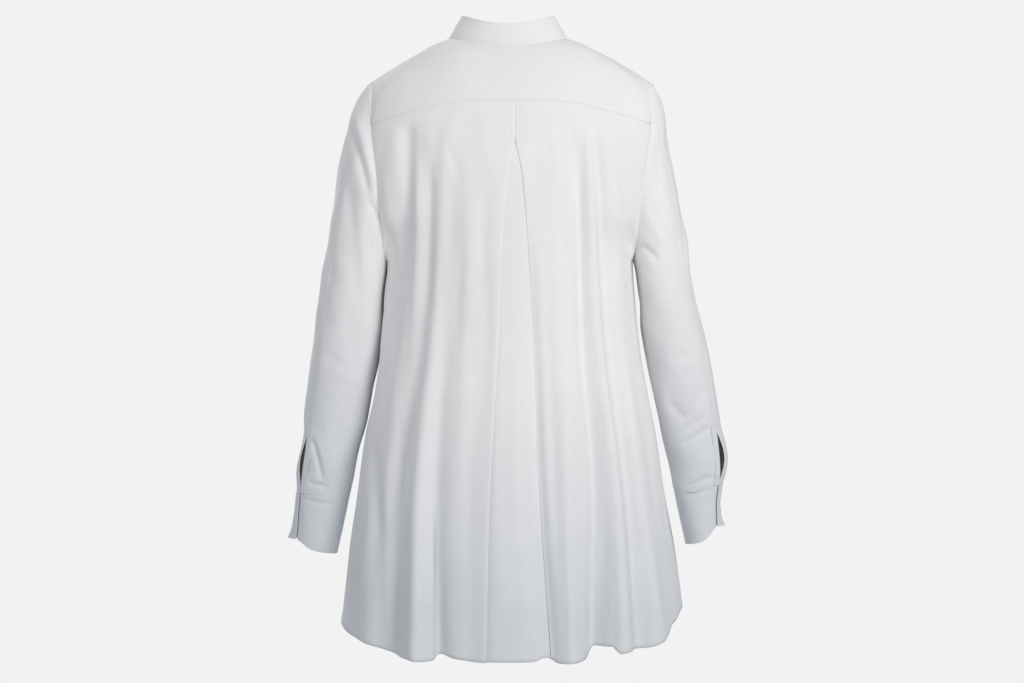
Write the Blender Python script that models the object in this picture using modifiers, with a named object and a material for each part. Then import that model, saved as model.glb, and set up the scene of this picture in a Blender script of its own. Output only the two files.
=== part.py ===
import math
from collections import namedtuple

import bmesh
import bpy
from mathutils import Vector

# A-line overshirt, held open as if worn. Metres, +Z up. The front faces -Y and the
# wearer's left is +X. The origin is the middle of the neck opening, level with the
# two points where the shoulders meet the collar.

CLOTH = 0.0012
SEAM_GAP = 0.0003
SIDE_GAP = 0.0002
LAP_STEP = 0.0024
ON_CLOTH = CLOTH + SEAM_GAP * 2

# The body's sections: near an ellipse, and flatter beside the armhole.
ELLIPSE_POWER = 2.2
ARMHOLE_POWER = 0.8
UNDERARM_EASE = 0.25
EDGE_POWER = 12
OUTWARD_STEP = 0.002

# Neckline: an oval, dipped at the back and more at the front.
NECK_HALF = 0.080
NECK_BACK = 0.060
NECK_FRONT = 0.080
NECK_BACK_DIP = 0.016
NECK_FRONT_DIP = 0.062
NECK_SHIFT = 0.004

# Collar: a stand band that leans in towards its top edge.
COLLAR_TOP_HALF = 0.0625
COLLAR_TOP_BACK = 0.051
COLLAR_TOP_FRONT = 0.070
COLLAR_HEIGHT = 0.0310
COLLAR_LAP_DEG = 11.25
COLLAR_GAP = 0.0009
COLLAR_LAP_START_DEG = 140.0
COLLAR_LAP_LENGTH_DEG = 30.0
COLLAR_UNDER = -0.0012
COLLAR_OVER = 0.0014

# Armhole: a flat oval through the shoulder point and the underarm point.
SHOULDER_X, SHOULDER_Z = 0.1930, -0.0620
UNDERARM_X, UNDERARM_Z = 0.1640, -0.3000
ARMHOLE_BACK = 0.062
ARMHOLE_FRONT = 0.058
BACK_SEAM_DEG = 60.0
FRONT_SEAM_DEG = 30.0
ARMHOLE_GAP = 0.0006
ARMHOLE_DROP = 0.0001

# Yoke.
RIDGE_MID_Z = 0.003
SHOULDER_ROUND = 0.8
YOKE_SEAM_Z = -0.0935
YOKE_FLAT_HALF = 0.055
YOKE_SEAM_POWER = 1.4
YOKE_GAP = 0.00045
YOKE_FRONT_DEG = 112.5
FRONT_DROP = 13.0
YOKE_START_SLOPE = 0.2
YOKE_END_SLOPE = 3.0

# Centre-back box pleat: the hidden layers behind each folded edge.
PLEAT_LAYER = 0.0032
PLEAT_UNDER_TOP = 0.0140
PLEAT_UNDER_HEM = 0.0050
PLEAT_OPEN_HEM = 0.0140
PLEAT_OPEN_START = 0.030
PLEAT_OPEN_LENGTH = 0.75
PLEAT_MIDDLE_RISE = 0.0110
PLEAT_MIDDLE_START = 0.080
PLEAT_MIDDLE_LENGTH = 0.60
PLEAT_BLEND = 0.030
PLEAT_TUCK = 0.0010
PLEAT_TUCK_HALF = 0.020

# Hem and front closure.
BACK_HEM_Z = -0.8165
FRONT_HEM_Z = -0.8000
HEM_SIDE_RISE = 0.036
HEM_ROUND_POWER = 7
FRONT_LAP = 0.0150
FRONT_LIFT_HALF = 0.050
CHEST_START_PULL = 0.9
CHEST_END_PULL = 1.1
CHEST_SIDE_POWER = 0.9
BAND_WIDTH = 0.0290
BAND_START_ROW = 0.25
BAND_SLOPE_STEP = 0.01

# Sleeve slit and cuff.
SLIT_DEG = 30.0
SLIT_GAP = 0.0050
SLIT_OPENING_RATE = 1.6
SLIT_BAND_WIDTH = 0.0110
SLIT_BAND_START = 8.7
SLIT_BAND_ROWS = 4
SLIT_BAND_END_RISE = 0.0009
CUFF_GAP = 0.0040
CUFF_FLARE = 0.0090
CUFF_FLARE_POWER = 1.3
CUFF_END_DEG = 70.0

BUTTON_RADIUS = 0.0057
BUTTON_THICK = 0.0024
BUTTON_TAPER = 0.92
BUTTON_GAP = 0.00045
BUTTON_SLOPE = 0.010
BUTTON_COUNT = 7
FIRST_BUTTON_Z = -0.125
BUTTON_STEP = 0.088
BAND_BUTTON_PLACE = 0.45
COLLAR_BUTTON_PLACE = 0.022
CUFF_BUTTON_PLACE = 0.93

Section = namedtuple("Section", "z half back front")
SECTIONS = [
    Section(-0.093, 0.186, 0.1000, 0.098),
    Section(-0.130, 0.184, 0.1110, 0.110),
    Section(-0.170, 0.181, 0.1170, 0.118),
    Section(-0.220, 0.174, 0.1200, 0.121),
    Section(-0.300, 0.164, 0.1220, 0.120),
    Section(-0.350, 0.1665, 0.1245, 0.118),
    Section(-0.390, 0.1705, 0.1270, 0.118),
    Section(-0.430, 0.1755, 0.1305, 0.119),
    Section(-0.480, 0.1845, 0.1355, 0.121),
    Section(-0.530, 0.1945, 0.1410, 0.125),
    Section(-0.616, 0.2075, 0.1510, 0.132),
    Section(-0.697, 0.2215, 0.1620, 0.139),
    Section(-0.758, 0.2300, 0.1710, 0.144),
    Section(-0.830, 0.2350, 0.1800, 0.149),
]

# Sleeve rings: the outer and the inner edge as the back view shows them.
Ring = namedtuple("Ring", "outer_x outer_z inner_x inner_z back front middle_y")
SLEEVE_RINGS = [
    Ring(0.1930, -0.062, 0.1640, -0.300, 0.062, 0.058, 0.000),
    Ring(0.2045, -0.078, 0.1660, -0.306, 0.063, 0.060, 0.000),
    Ring(0.2170, -0.106, 0.1680, -0.317, 0.062, 0.060, 0.000),
    Ring(0.2275, -0.150, 0.1700, -0.333, 0.060, 0.059, -0.001),
    Ring(0.2365, -0.205, 0.1715, -0.356, 0.058, 0.058, -0.002),
    Ring(0.2475, -0.272, 0.1730, -0.385, 0.055, 0.056, -0.004),
    Ring(0.2600, -0.350, 0.1775, -0.424, 0.052, 0.053, -0.007),
    Ring(0.2705, -0.430, 0.1870, -0.476, 0.048, 0.049, -0.010),
    Ring(0.2785, -0.500, 0.1985, -0.527, 0.043, 0.044, -0.013),
    Ring(0.2815, -0.531, 0.2045, -0.550, 0.041, 0.041, -0.014),
    Ring(0.2885, -0.575, 0.2120, -0.583, 0.038, 0.038, -0.016),
    Ring(0.2910, -0.6125, 0.2190, -0.6185, 0.036, 0.036, -0.018),
]
SLIT_ROW = 9
CUFF_RINGS = [
    Ring(0.2915, -0.6128, 0.2195, -0.6188, 0.0365, 0.0365, -0.018),
    Ring(0.2935, -0.6370, 0.2245, -0.6430, 0.0350, 0.0350, -0.019),
    Ring(0.2945, -0.6620, 0.2300, -0.6690, 0.0340, 0.0340, -0.020),
    Ring(0.2955, -0.6860, 0.2360, -0.6950, 0.0330, 0.0330, -0.021),
]

# Folds: where each runs at five heights, how wide it is, and how far it stands out
# (a ridge) or in (a trough) at three heights. drop lowers the hem there. columns is
# how many grid columns lie between it and the next line towards its side seam.
FOLD_HEIGHTS = (-0.12, -0.25, -0.41, -0.60, -0.80)
FOLD_COLUMNS = (
    "name yoke blade waist hip hem width_top width_hem rise_top rise_waist rise_hem drop columns"
)
Fold = namedtuple("Fold", FOLD_COLUMNS)
BACK_FOLDS = [
    Fold("left side ridge", 0.160, 0.160, 0.166, 0.192, 0.185, 0.012, 0.018, 0, 0.001, 0.012, 0.002, 3),
    Fold("left low trough", 0.133, 0.145, 0.156, 0.176, 0.153, 0.010, 0.012, 0, 0, -0.020, -0.004, 2),
    Fold("left broad trough", 0.106, 0.125, 0.136, 0.144, 0.141, 0.011, 0.012, -0.003, -0.007, -0.004, 0, 2),
    Fold("left cone ridge", 0.098, 0.114, 0.119, 0.122, 0.124, 0.008, 0.015, 0.001, 0.009, 0.025, 0.005, 2),
    Fold("left deep trough", 0.085, 0.100, 0.105, 0.096, 0.092, 0.008, 0.013, -0.002, -0.009, -0.020, -0.007, 2),
    Fold("left panel ridge", 0.053, 0.060, 0.063, 0.063, 0.060, 0.018, 0.020, 0.001, 0.005, 0.011, 0.003, 3),
    Fold("right cone ridge", -0.059, -0.071, -0.081, -0.081, -0.077, 0.012, 0.017, 0.002, 0.009, 0.024, 0.006, 2),
    Fold("right trough", -0.086, -0.096, -0.105, -0.118, -0.113, 0.008, 0.013, -0.002, -0.008, -0.018, -0.016, 2),
    Fold("right narrow ridge", -0.099, -0.108, -0.118, -0.137, -0.147, 0.006, 0.014, 0.001, 0.005, 0.015, -0.006, 2),
    Fold("right low trough", -0.111, -0.120, -0.130, -0.152, -0.171, 0.007, 0.012, -0.002, -0.007, -0.012, -0.008, 2),
    Fold("right side ridge", -0.125, -0.138, -0.148, -0.169, -0.194, 0.008, 0.016, 0.001, 0.004, 0.011, -0.004, 2),
    Fold("right side trough", -0.140, -0.155, -0.163, -0.187, -0.215, 0.008, 0.010, -0.002, -0.003, -0.003, 0, 3),
]
FRONT_FOLDS = [
    Fold("inner ridge", 0.050, 0.056, 0.062, 0.070, 0.074, 0.014, 0.018, 0, 0.003, 0.014, 0.003, 3),
    Fold("middle trough", 0.078, 0.086, 0.096, 0.104, 0.110, 0.012, 0.015, 0, -0.005, -0.015, -0.004, 3),
    Fold("outer ridge", 0.105, 0.115, 0.126, 0.138, 0.146, 0.014, 0.018, 0, 0.004, 0.015, 0.004, 3),
    Fold("side trough", 0.130, 0.140, 0.150, 0.166, 0.182, 0.010, 0.012, 0, -0.004, -0.010, 0, 3),
]
Pleat = namedtuple("Pleat", "name yoke blade waist hip hem rise_top rise_waist rise_hem columns")
PLEAT_EDGES = {
    1: Pleat("left edge", -0.0026, 0.0100, 0.0169, 0.0270, 0.0313, 0.001, 0.006, 0.014, 3),
    -1: Pleat("right edge", -0.0076, -0.0205, -0.0298, -0.0373, -0.0511, 0.001, 0.007, 0.014, 4),
}
SIDE_SPACING = 1.8
FOLD_START_GAP = 0.004
FOLD_START_LENGTH = 0.060
FOLD_SIDE_POWER = 8

COTTON = ("white cotton", (0.80, 0.79, 0.78, 1.0), 0.85)
SHELL_BUTTON = ("white shell button", (0.86, 0.85, 0.82, 1.0), 0.30)


def lerp(a, b, t):
    return a + (b - a) * t


def eased(t):
    t = min(max(t, 0.0), 1.0)
    return t * t * (3 - 2 * t)


def curve_through(places, values, at):
    """A smooth value between rows that are given at rising or falling places."""
    sign = 1 if places[-1] > places[0] else -1
    at = min(max(at * sign, places[0] * sign), places[-1] * sign) * sign
    i = 0
    while i < len(places) - 2 and (at - places[i + 1]) * sign > 0:
        i += 1
    span = places[i + 1] - places[i]

    def slope(k):
        a, b = max(k - 1, 0), min(k + 1, len(places) - 1)
        return (values[b] - values[a]) / (places[b] - places[a])

    t = (at - places[i]) / span
    return (
        (2 * t**3 - 3 * t**2 + 1) * values[i]
        + (t**3 - 2 * t**2 + t) * span * slope(i)
        + (-2 * t**3 + 3 * t**2) * values[i + 1]
        + (t**3 - t**2) * span * slope(i + 1)
    )


def section(z, column):
    return curve_through([s.z for s in SECTIONS], [getattr(s, column) for s in SECTIONS], z)


def ring_point(ring, angle, side=1, grow=0.0):
    """A point on a sleeve ring: 0 is its outer edge, a quarter turn its back, half its inner edge."""
    outer = Vector((ring.outer_x, 0, ring.outer_z))
    inner = Vector((ring.inner_x, 0, ring.inner_z))
    middle, half = (outer + inner) / 2, (outer - inner) / 2
    half *= 1 + grow / half.length
    depth = (ring.back if math.sin(angle) > 0 else ring.front) + grow
    p = middle + half * math.cos(angle) + Vector((0, ring.middle_y + depth * math.sin(angle), 0))
    return Vector((p.x * side, p.y, p.z))


ARMHOLE = Ring(
    SHOULDER_X, SHOULDER_Z, UNDERARM_X, UNDERARM_Z, ARMHOLE_BACK, ARMHOLE_FRONT, 0.0
)


def armhole_angle(z):
    middle, half = (SHOULDER_Z + UNDERARM_Z) / 2, (SHOULDER_Z - UNDERARM_Z) / 2
    return math.acos(min(max((z - middle) / half, -1.0), 1.0))


def armhole_height(angle):
    return lerp(UNDERARM_Z, SHOULDER_Z, (1 + math.cos(angle)) / 2)


def half_width(z):
    if z > UNDERARM_Z:
        return ring_point(ARMHOLE, armhole_angle(z)).x
    return section(z, "half")


def edge_depth(z, front):
    """How far from the middle plane a panel's side edge lies: on the armhole, or at the side seam."""
    if z <= UNDERARM_Z:
        return 0.0
    return (ARMHOLE_FRONT if front else ARMHOLE_BACK) * math.sin(armhole_angle(z))


def plain_section(x, z, front=False):
    """The body's surface without folds, at a side offset and a height.

    The armhole's edge turns in at once at the underarm, but the cloth beside it eases in.
    """
    half, edge = half_width(z), edge_depth(z, front)
    depth = section(z, "front" if front else "back")
    share = min(abs(x) / half, 1.0)
    full = ARMHOLE_FRONT if front else ARMHOLE_BACK
    above = (z - UNDERARM_Z) / (SHOULDER_Z - UNDERARM_Z)
    eased_edge = edge * eased(above / UNDERARM_EASE)
    power = lerp(1 / ELLIPSE_POWER, ARMHOLE_POWER, eased_edge / full)
    y = lerp(eased_edge, depth, max(1 - share**ELLIPSE_POWER, 0.0) ** power)
    y += (edge - eased_edge) * share**EDGE_POWER + SIDE_GAP
    return Vector((x, -y if front else y, z))


def outward(x, z, front=False):
    """The direction straight out of the plain section, in its own level."""
    reach = half_width(z)
    low, high = max(x - OUTWARD_STEP, -reach), min(x + OUTWARD_STEP, reach)
    along = plain_section(high, z, front) - plain_section(low, z, front)
    normal = Vector((-along.y, along.x, 0)) if not front else Vector((along.y, -along.x, 0))
    return normal.normalized()


def at_height(row, z, kind):
    if kind == "x":
        return curve_through(FOLD_HEIGHTS, (row.yoke, row.blade, row.waist, row.hip, row.hem), z)
    heights = (FOLD_HEIGHTS[0], FOLD_HEIGHTS[2], FOLD_HEIGHTS[4])
    return curve_through(heights, (row.rise_top, row.rise_waist, row.rise_hem), z)


def fold_shape(row, x, z):
    down = (FOLD_HEIGHTS[0] - z) / (FOLD_HEIGHTS[0] - FOLD_HEIGHTS[-1])
    width = lerp(row.width_top, row.width_hem, eased(down))
    return math.exp(-(((x - at_height(row, z, "x")) / width) ** 2))


def below_seam(x, z):
    return eased((yoke_seam_height(x) - FOLD_START_GAP - z) / FOLD_START_LENGTH)


def fold_rise(rows, x, z):
    """How far the folds push the cloth out at a point. It fades out at the yoke and the side seams."""
    rise = sum(at_height(row, z, "rise") * fold_shape(row, x, z) for row in rows)
    side = 1 - min(abs(x) / half_width(z), 1.0) ** FOLD_SIDE_POWER
    return rise * side * below_seam(x, z)


def hem_height(x, front=False):
    low, rows = (FRONT_HEM_Z, FRONT_FOLDS) if front else (BACK_HEM_Z, BACK_FOLDS)
    share = min(abs(x) / half_width(low), 1.0)
    at = abs(x) if front else x
    drop = sum(row.drop * fold_shape(row, at, FOLD_HEIGHTS[-1]) for row in rows)
    side = low + HEM_SIDE_RISE - (FRONT_HEM_Z - BACK_HEM_Z if front else 0)
    return lerp(low - drop * (1 - share**HEM_ROUND_POWER), side, share**HEM_ROUND_POWER)


def yoke_seam_height(x):
    corner = ring_point(ARMHOLE, math.radians(BACK_SEAM_DEG))
    beyond = max(abs(x) - YOKE_FLAT_HALF, 0.0) / (corner.x - YOKE_FLAT_HALF)
    return lerp(YOKE_SEAM_Z, corner.z, beyond**YOKE_SEAM_POWER)


def back_height(x, row, rows_above, rows_below):
    """The height of a grid row at x. Down to the underarm the rows step evenly round the armhole."""
    if row <= rows_above:
        corner = math.radians(BACK_SEAM_DEG)
        z = armhole_height(lerp(corner, math.pi, row / rows_above))
        share = (z - armhole_height(corner)) / (UNDERARM_Z - armhole_height(corner))
        pleat_x = (PLEAT_EDGES[1].yoke + PLEAT_EDGES[-1].yoke) / 2
        tuck = PLEAT_TUCK * math.exp(-(((x - pleat_x) / PLEAT_TUCK_HALF) ** 2))
        return lerp(yoke_seam_height(x) - YOKE_GAP - tuck, UNDERARM_Z, share)
    return lerp(UNDERARM_Z, hem_height(x), (row - rows_above) / rows_below)


def settle(x_of, z_of):
    """A point's x depends on its height and the other way round, so they are worked out in turns."""
    z = UNDERARM_Z
    for _ in range(SETTLE_TURNS):
        x = x_of(z)
        z = z_of(x)
    return x, z


SETTLE_TURNS = 4
PLEAT_STEPS = [
    # outwards from the folded edge, and in from the outer layer, in pleat layers
    (0.0, 0.0, 0.0),
    (-0.5, 0.5, 0.0),
    (0.0, 1.0, 0.0),
    (1.0, 1.0, 1.0),
    (1.3, 1.6, 1.0),
    (1.0, 2.1, 1.0),
]


def pleat_point(side, step, z):
    """A point of the folded edge: side 1 is the left one. The last step starts the hidden panel."""
    out, layers, under = PLEAT_STEPS[step]
    down = YOKE_SEAM_Z - z
    reach = lerp(PLEAT_UNDER_TOP, PLEAT_UNDER_HEM, eased(down / PLEAT_OPEN_LENGTH))
    opened = PLEAT_OPEN_HEM * eased((down - PLEAT_OPEN_START) / PLEAT_OPEN_LENGTH)
    edge = PLEAT_EDGES[side]
    dx = out * (reach if under else PLEAT_LAYER) if out <= 1 else reach + (out - 1) * PLEAT_LAYER
    x = at_height(edge, z, "x") + side * dx
    depth = layers * PLEAT_LAYER + (opened if under else 0.0)
    return x, at_height(edge, z, "rise") * below_seam(x, z) - depth


def panel_x(side, step, z):
    """The x of a grid line between a side seam (step 0) and the pleat: the lines follow the folds."""
    folds = [row for row in BACK_FOLDS if row.yoke * side > 0]
    folds.sort(key=lambda row: -abs(row.yoke))
    outer = side * half_width(z)
    for i, row in enumerate(folds + [PLEAT_EDGES[side]]):
        inner = at_height(row, z, "x")
        if step <= row.columns:
            share = step / row.columns
            return lerp(outer, inner, share**SIDE_SPACING if i == 0 else share)
        step -= row.columns
        outer = inner
    return outer


def back_point(column, row, side_columns, under_columns, rows_above, rows_below):
    """Columns run from the wearer's right side seam, over the pleat, to the left one."""
    folded = len(PLEAT_STEPS)
    last = 2 * side_columns + 2 * folded + under_columns - 1

    def of(x_and_rise):
        x, z = settle(
            lambda z: x_and_rise(z)[0], lambda x: back_height(x, row, rows_above, rows_below)
        )
        return plain_section(x, z) + outward(x, z) * x_and_rise(z)[1]

    if column < side_columns or column > last - side_columns:
        side = -1 if column < side_columns else 1
        k = column if side < 0 else last - column

        def outer(z):
            x = panel_x(side, k, z)
            folds = fold_rise(BACK_FOLDS, x, z)
            near = eased(1 - abs(x - at_height(PLEAT_EDGES[side], z, "x")) / PLEAT_BLEND)
            edge_rise = at_height(PLEAT_EDGES[side], z, "rise") * below_seam(x, z)
            return x, lerp(folds, edge_rise, near)

        return of(outer)
    column -= side_columns
    if column < folded:
        return of(lambda z: pleat_point(-1, column, z))
    if column >= folded + under_columns:
        step = 2 * folded + under_columns - 1 - column
        return of(lambda z: pleat_point(1, step, z))
    t = (column - folded + 1) / (under_columns + 1)

    def hidden(z):
        x0, r0 = pleat_point(-1, folded - 1, z)
        x1, r1 = pleat_point(1, folded - 1, z)
        down = YOKE_SEAM_Z - PLEAT_MIDDLE_START - z
        swell = PLEAT_MIDDLE_RISE * eased(down / PLEAT_MIDDLE_LENGTH)
        return lerp(x0, x1, t), lerp(r0, r1, t) + swell * math.sin(math.pi * t) ** 2

    return of(hidden)


def neck_point(angle):
    """On the neckline: 0 at the centre back, half a turn at the centre front."""
    c = math.cos(angle)
    depth, dip = (NECK_BACK, NECK_BACK_DIP) if c > 0 else (NECK_FRONT, NECK_FRONT_DIP)
    return Vector((NECK_HALF * math.sin(angle) + NECK_SHIFT, depth * c, -dip * c * c))


def ridge_height(x):
    """The height of the line from shoulder to shoulder that the yoke folds over."""
    out = abs(x)
    if out < NECK_HALF:
        return RIDGE_MID_Z * (1 - (out / NECK_HALF) ** 2)
    beyond = (out - NECK_HALF) / (SHOULDER_X - NECK_HALF)
    return SHOULDER_Z * lerp(beyond, beyond**2, 1 - SHOULDER_ROUND)


def top_height(x, y):
    """The height of the yoke's surface above a point of the plan."""
    ridge = ridge_height(x)
    if y < 0:
        return ridge - FRONT_DROP * y * y
    seam = yoke_seam_height(x)
    far = plain_section(min(abs(x), half_width(seam)), seam).y
    q = min(y / far, 1.0)
    fall = (
        (q**3 - 2 * q**2 + q) * YOKE_START_SLOPE
        + (-2 * q**3 + 3 * q**2)
        + (q**3 - q**2) * YOKE_END_SLOPE
    )
    return ridge - (ridge - seam) * fall


def yoke_edge(t, arm_share):
    """The yoke's outer edge: along one armhole, the back seam and the other armhole."""
    side = 1 if t > 0 else -1
    out = abs(t)
    if out > 1 - arm_share:
        k = (out - 1 + arm_share) / arm_share
        angle = math.radians(lerp(BACK_SEAM_DEG, -FRONT_SEAM_DEG, k))
        return ring_point(ARMHOLE, angle, side)
    corner = ring_point(ARMHOLE, math.radians(BACK_SEAM_DEG))
    x = corner.x * out / (1 - arm_share)
    z = yoke_seam_height(x)
    p = plain_section(x, z)
    return Vector((x * side, p.y, z))


def yoke_point(t, s, arm_share):
    """t runs round the neck from the right front seam to the left one, s from the neck outwards."""
    angle = math.radians(YOKE_FRONT_DEG) * t
    inner, outer = neck_point(angle), yoke_edge(t, arm_share)
    p = inner.lerp(outer, s)
    inner_off = inner.z - top_height(inner.x, inner.y)
    outer_off = outer.z - top_height(outer.x, outer.y)
    z = top_height(p.x, p.y) + lerp(inner_off, outer_off, s)
    return Vector((p.x, p.y, z))


CHEST_START = Vector((0, -0.72, -0.69))
NECK_COLUMNS = 7
FRONT_COLUMNS = 15
NECK_SHARE = NECK_COLUMNS / FRONT_COLUMNS


def front_top(c, side):
    """The front panel's top edge: c 0 at the centre front, along the neckline, then the yoke seam."""
    if c < NECK_SHARE:
        angle = math.radians(lerp(180.0 + COLLAR_LAP_DEG, YOKE_FRONT_DEG, c / NECK_SHARE))
        return neck_point(side * angle)
    k = (c - NECK_SHARE) / (1 - NECK_SHARE)
    inner = neck_point(side * math.radians(YOKE_FRONT_DEG))
    outer = ring_point(ARMHOLE, math.radians(-FRONT_SEAM_DEG), side)
    p = inner.lerp(outer, k)
    p.z = top_height(p.x, p.y) + lerp(
        inner.z - top_height(inner.x, inner.y), outer.z - top_height(outer.x, outer.y), k
    )
    return p


def front_low_point(c, z, side, lap):
    """On the front panel below the underarm level, folds included."""
    x = side * lerp(-lap, half_width(z), math.sin(c * math.pi / 2))
    rise = fold_rise(FRONT_FOLDS, abs(x), z)
    return plain_section(x, z, True) + outward(x, z, True) * rise


def front_chest_point(c, k, side, lap):
    """Between the top edge (k 0) and the underarm level (k 1), leaving the shoulder at its slope."""
    top, bottom = front_top(c, side), front_low_point(c, UNDERARM_Z, side, lap)
    down = front_low_point(c, UNDERARM_Z - 0.01, side, lap) - bottom
    chord = (top - bottom).length
    start = CHEST_START * chord * CHEST_START_PULL
    end = down.normalized() * chord * CHEST_END_PULL
    return (
        top * (2 * k**3 - 3 * k**2 + 1)
        + start * (k**3 - 2 * k**2 + k)
        + bottom * (-2 * k**3 + 3 * k**2)
        + end * (k**3 - k**2)
    )


def front_point(c, row, side, rows_above, rows_below, lap, lift):
    """A front panel's point: c 0 at its front edge, past the centre by lap, and 1 at the side."""
    if row >= rows_above:
        k = (row - rows_above) / rows_below
        x_hem = side * lerp(-lap, half_width(FRONT_HEM_Z), math.sin(c * math.pi / 2))
        p = front_low_point(c, lerp(UNDERARM_Z, hem_height(x_hem, True), k), side, lap)
    else:
        k = row / rows_above
        armhole = ring_point(ARMHOLE, math.radians(lerp(-FRONT_SEAM_DEG, -180.0, k)), side)
        pull = 1 - max(math.cos(c * math.pi / 2), 0.0) ** CHEST_SIDE_POWER
        p = front_chest_point(c, k, side, lap)
        p += (armhole - front_chest_point(1.0, k, side, lap)) * pull
        p += CHEST_START * SEAM_GAP * 2 * (1 - k)
        p.y -= SIDE_GAP * k
    return p + Vector((0, -lift * (1 - eased(abs(p.x) / FRONT_LIFT_HALF)), 0))


def sleeve_point(side, around, row):
    """A sleeve's point: around runs 0 to 1 from one edge of the slit to the other."""
    turn = math.radians(SLIT_DEG) + around * 2 * math.pi
    p = ring_point(SLEEVE_RINGS[row], turn, side)
    if row == 0:
        p.x += side * ARMHOLE_GAP
        p.z -= ARMHOLE_DROP
    if row > SLIT_ROW:
        share = (row - SLIT_ROW) / (len(SLEEVE_RINGS) - 1 - SLIT_ROW)
        open_deg = math.degrees(SLIT_GAP * min(share * SLIT_OPENING_RATE, 1.0) / SLEEVE_RINGS[row].back)
        turn = math.radians(lerp(SLIT_DEG + open_deg / 2, SLIT_DEG + 360 - open_deg / 2, around))
        p = ring_point(SLEEVE_RINGS[row], turn, side)
    return p


def cuff_point(side, around, row, grow=0.0):
    """A cuff's point. Its front end swings out a little towards the lower corner."""
    ring = CUFF_RINGS[row]
    open_deg = math.degrees(CUFF_GAP / ring.back)
    turn = math.radians(lerp(SLIT_DEG + open_deg / 2, SLIT_DEG + 360 - open_deg / 2, around))
    near_end = eased(1 - (1 - around) * 360 / CUFF_END_DEG)
    out = CUFF_FLARE * near_end * (row / (len(CUFF_RINGS) - 1)) ** CUFF_FLARE_POWER
    return ring_point(ring, turn, side, grow + out)


def collar_point(t, s):
    """t runs round the neck from the under end to the upper end, s from the neckline to the top."""
    angle = math.radians(lerp(-180 - COLLAR_LAP_DEG, 180 + COLLAR_LAP_DEG, t))
    low = neck_point(angle)
    c = math.cos(angle)
    top = Vector(
        (
            COLLAR_TOP_HALF * math.sin(angle) + NECK_SHIFT,
            (COLLAR_TOP_BACK if c > 0 else COLLAR_TOP_FRONT) * c,
            low.z + COLLAR_HEIGHT,
        )
    )
    p = low.lerp(top, s)
    p.z += COLLAR_GAP * (1 - s)
    lapped = eased((math.degrees(abs(angle)) - COLLAR_LAP_START_DEG) / COLLAR_LAP_LENGTH_DEG)
    return p + Vector((0, lapped * (COLLAR_UNDER if angle < 0 else COLLAR_OVER), 0))


def new_material(finish):
    name, colour, roughness = finish
    material = bpy.data.materials.new(name)
    material.use_nodes = True
    shader = material.node_tree.nodes["Principled BSDF"]
    shader.inputs["Base Color"].default_value = colour
    shader.inputs["Roughness"].default_value = roughness
    shader.inputs["Metallic"].default_value = 0.0
    return material


def new_object(name, mesh, finish, parent, collection):
    obj = bpy.data.objects.new(name, mesh)
    mesh.materials.append(new_material(finish))
    obj.parent = parent
    collection.objects.link(obj)
    return obj


def cloth_panel(name, columns, rows, place, joined=None, turned=False, setting=None):
    """A grid of cloth whose points place(column, row) sets, thickened inwards from its outer face.

    joined, if given, is the last row down to which the first and last columns are one.
    """
    bm = bmesh.new()
    bmesh.ops.create_grid(bm, x_segments=columns, y_segments=rows, size=0.5)
    seam = []
    for v in bm.verts:
        column = round((v.co.x + 0.5) * columns)
        row = round((0.5 - v.co.y) * rows)
        v.co = place(column, row)
        if joined is not None and row <= joined and column in (0, columns):
            seam.append(v)
    if seam:
        bmesh.ops.remove_doubles(bm, verts=seam, dist=0.00001)
    if turned:
        bmesh.ops.reverse_faces(bm, faces=bm.faces[:])
    mesh = bpy.data.meshes.new(name)
    bm.to_mesh(mesh)
    bm.free()
    mesh.shade_smooth()
    obj = new_object(name, mesh, COTTON, *setting)
    wall = obj.modifiers.new("cloth", "SOLIDIFY")
    wall.thickness = CLOTH
    wall.offset = -1
    return obj


def make_yoke(setting):
    columns, rows, arm_share = 40, 8, 0.3

    def place(column, row):
        t = lerp(-1.0, 1.0, column / columns)
        s = lerp(0.0, 1.0, row / rows)
        return yoke_point(t, s, arm_share)

    cloth_panel("yoke", columns, rows, place, turned=True, setting=setting)


def make_back(setting):
    side_columns, under_columns, rows_above, rows_below = 17, 5, 8, 11
    last = 2 * side_columns + 2 * len(PLEAT_STEPS) + under_columns - 1

    def place(column, row):
        return back_point(column, row, side_columns, under_columns, rows_above, rows_below)

    cloth_panel("back", last, rows_above + rows_below, place, turned=True, setting=setting)


def make_fronts(setting):
    columns, rows_above, rows_below = FRONT_COLUMNS, 10, 9
    for side, name, lift in ((1, "front_left", 0.0), (-1, "front_right", LAP_STEP)):

        def place(column, row, side=side, lift=lift):
            c = column / columns
            return front_point(c, row, side, rows_above, rows_below, FRONT_LAP, lift)

        cloth_panel(
            name, columns, rows_above + rows_below, place, turned=side < 0, setting=setting
        )


def band_point(across, row, rows_above, rows_below):
    """The front band lies on the right front: its points are that panel's, moved out."""
    share = lerp(0.0, BAND_WIDTH, across)
    reach = half_width(UNDERARM_Z) + FRONT_LAP
    c = math.asin(share / reach) / (math.pi / 2)
    p = front_point(c, row, -1, rows_above, rows_below, FRONT_LAP, LAP_STEP)
    step = BAND_SLOPE_STEP
    down = front_point(c, row + step, -1, rows_above, rows_below, FRONT_LAP, LAP_STEP) - p
    sideways = front_point(c + step, row, -1, rows_above, rows_below, FRONT_LAP, LAP_STEP) - p
    return p + sideways.cross(down).normalized() * ON_CLOTH


def make_front_band(setting):
    rows_above, rows_below = 10, 9

    def place(column, row):
        return band_point(column / 2, max(row, BAND_START_ROW), rows_above, rows_below)

    cloth_panel("front_band", 2, rows_above + rows_below, place, turned=True, setting=setting)


def make_collar(setting):
    columns, rows = 68, 2

    def place(column, row):
        return collar_point(column / columns, 1 - row / rows)

    cloth_panel("collar", columns, rows, place, turned=True, setting=setting)


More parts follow.
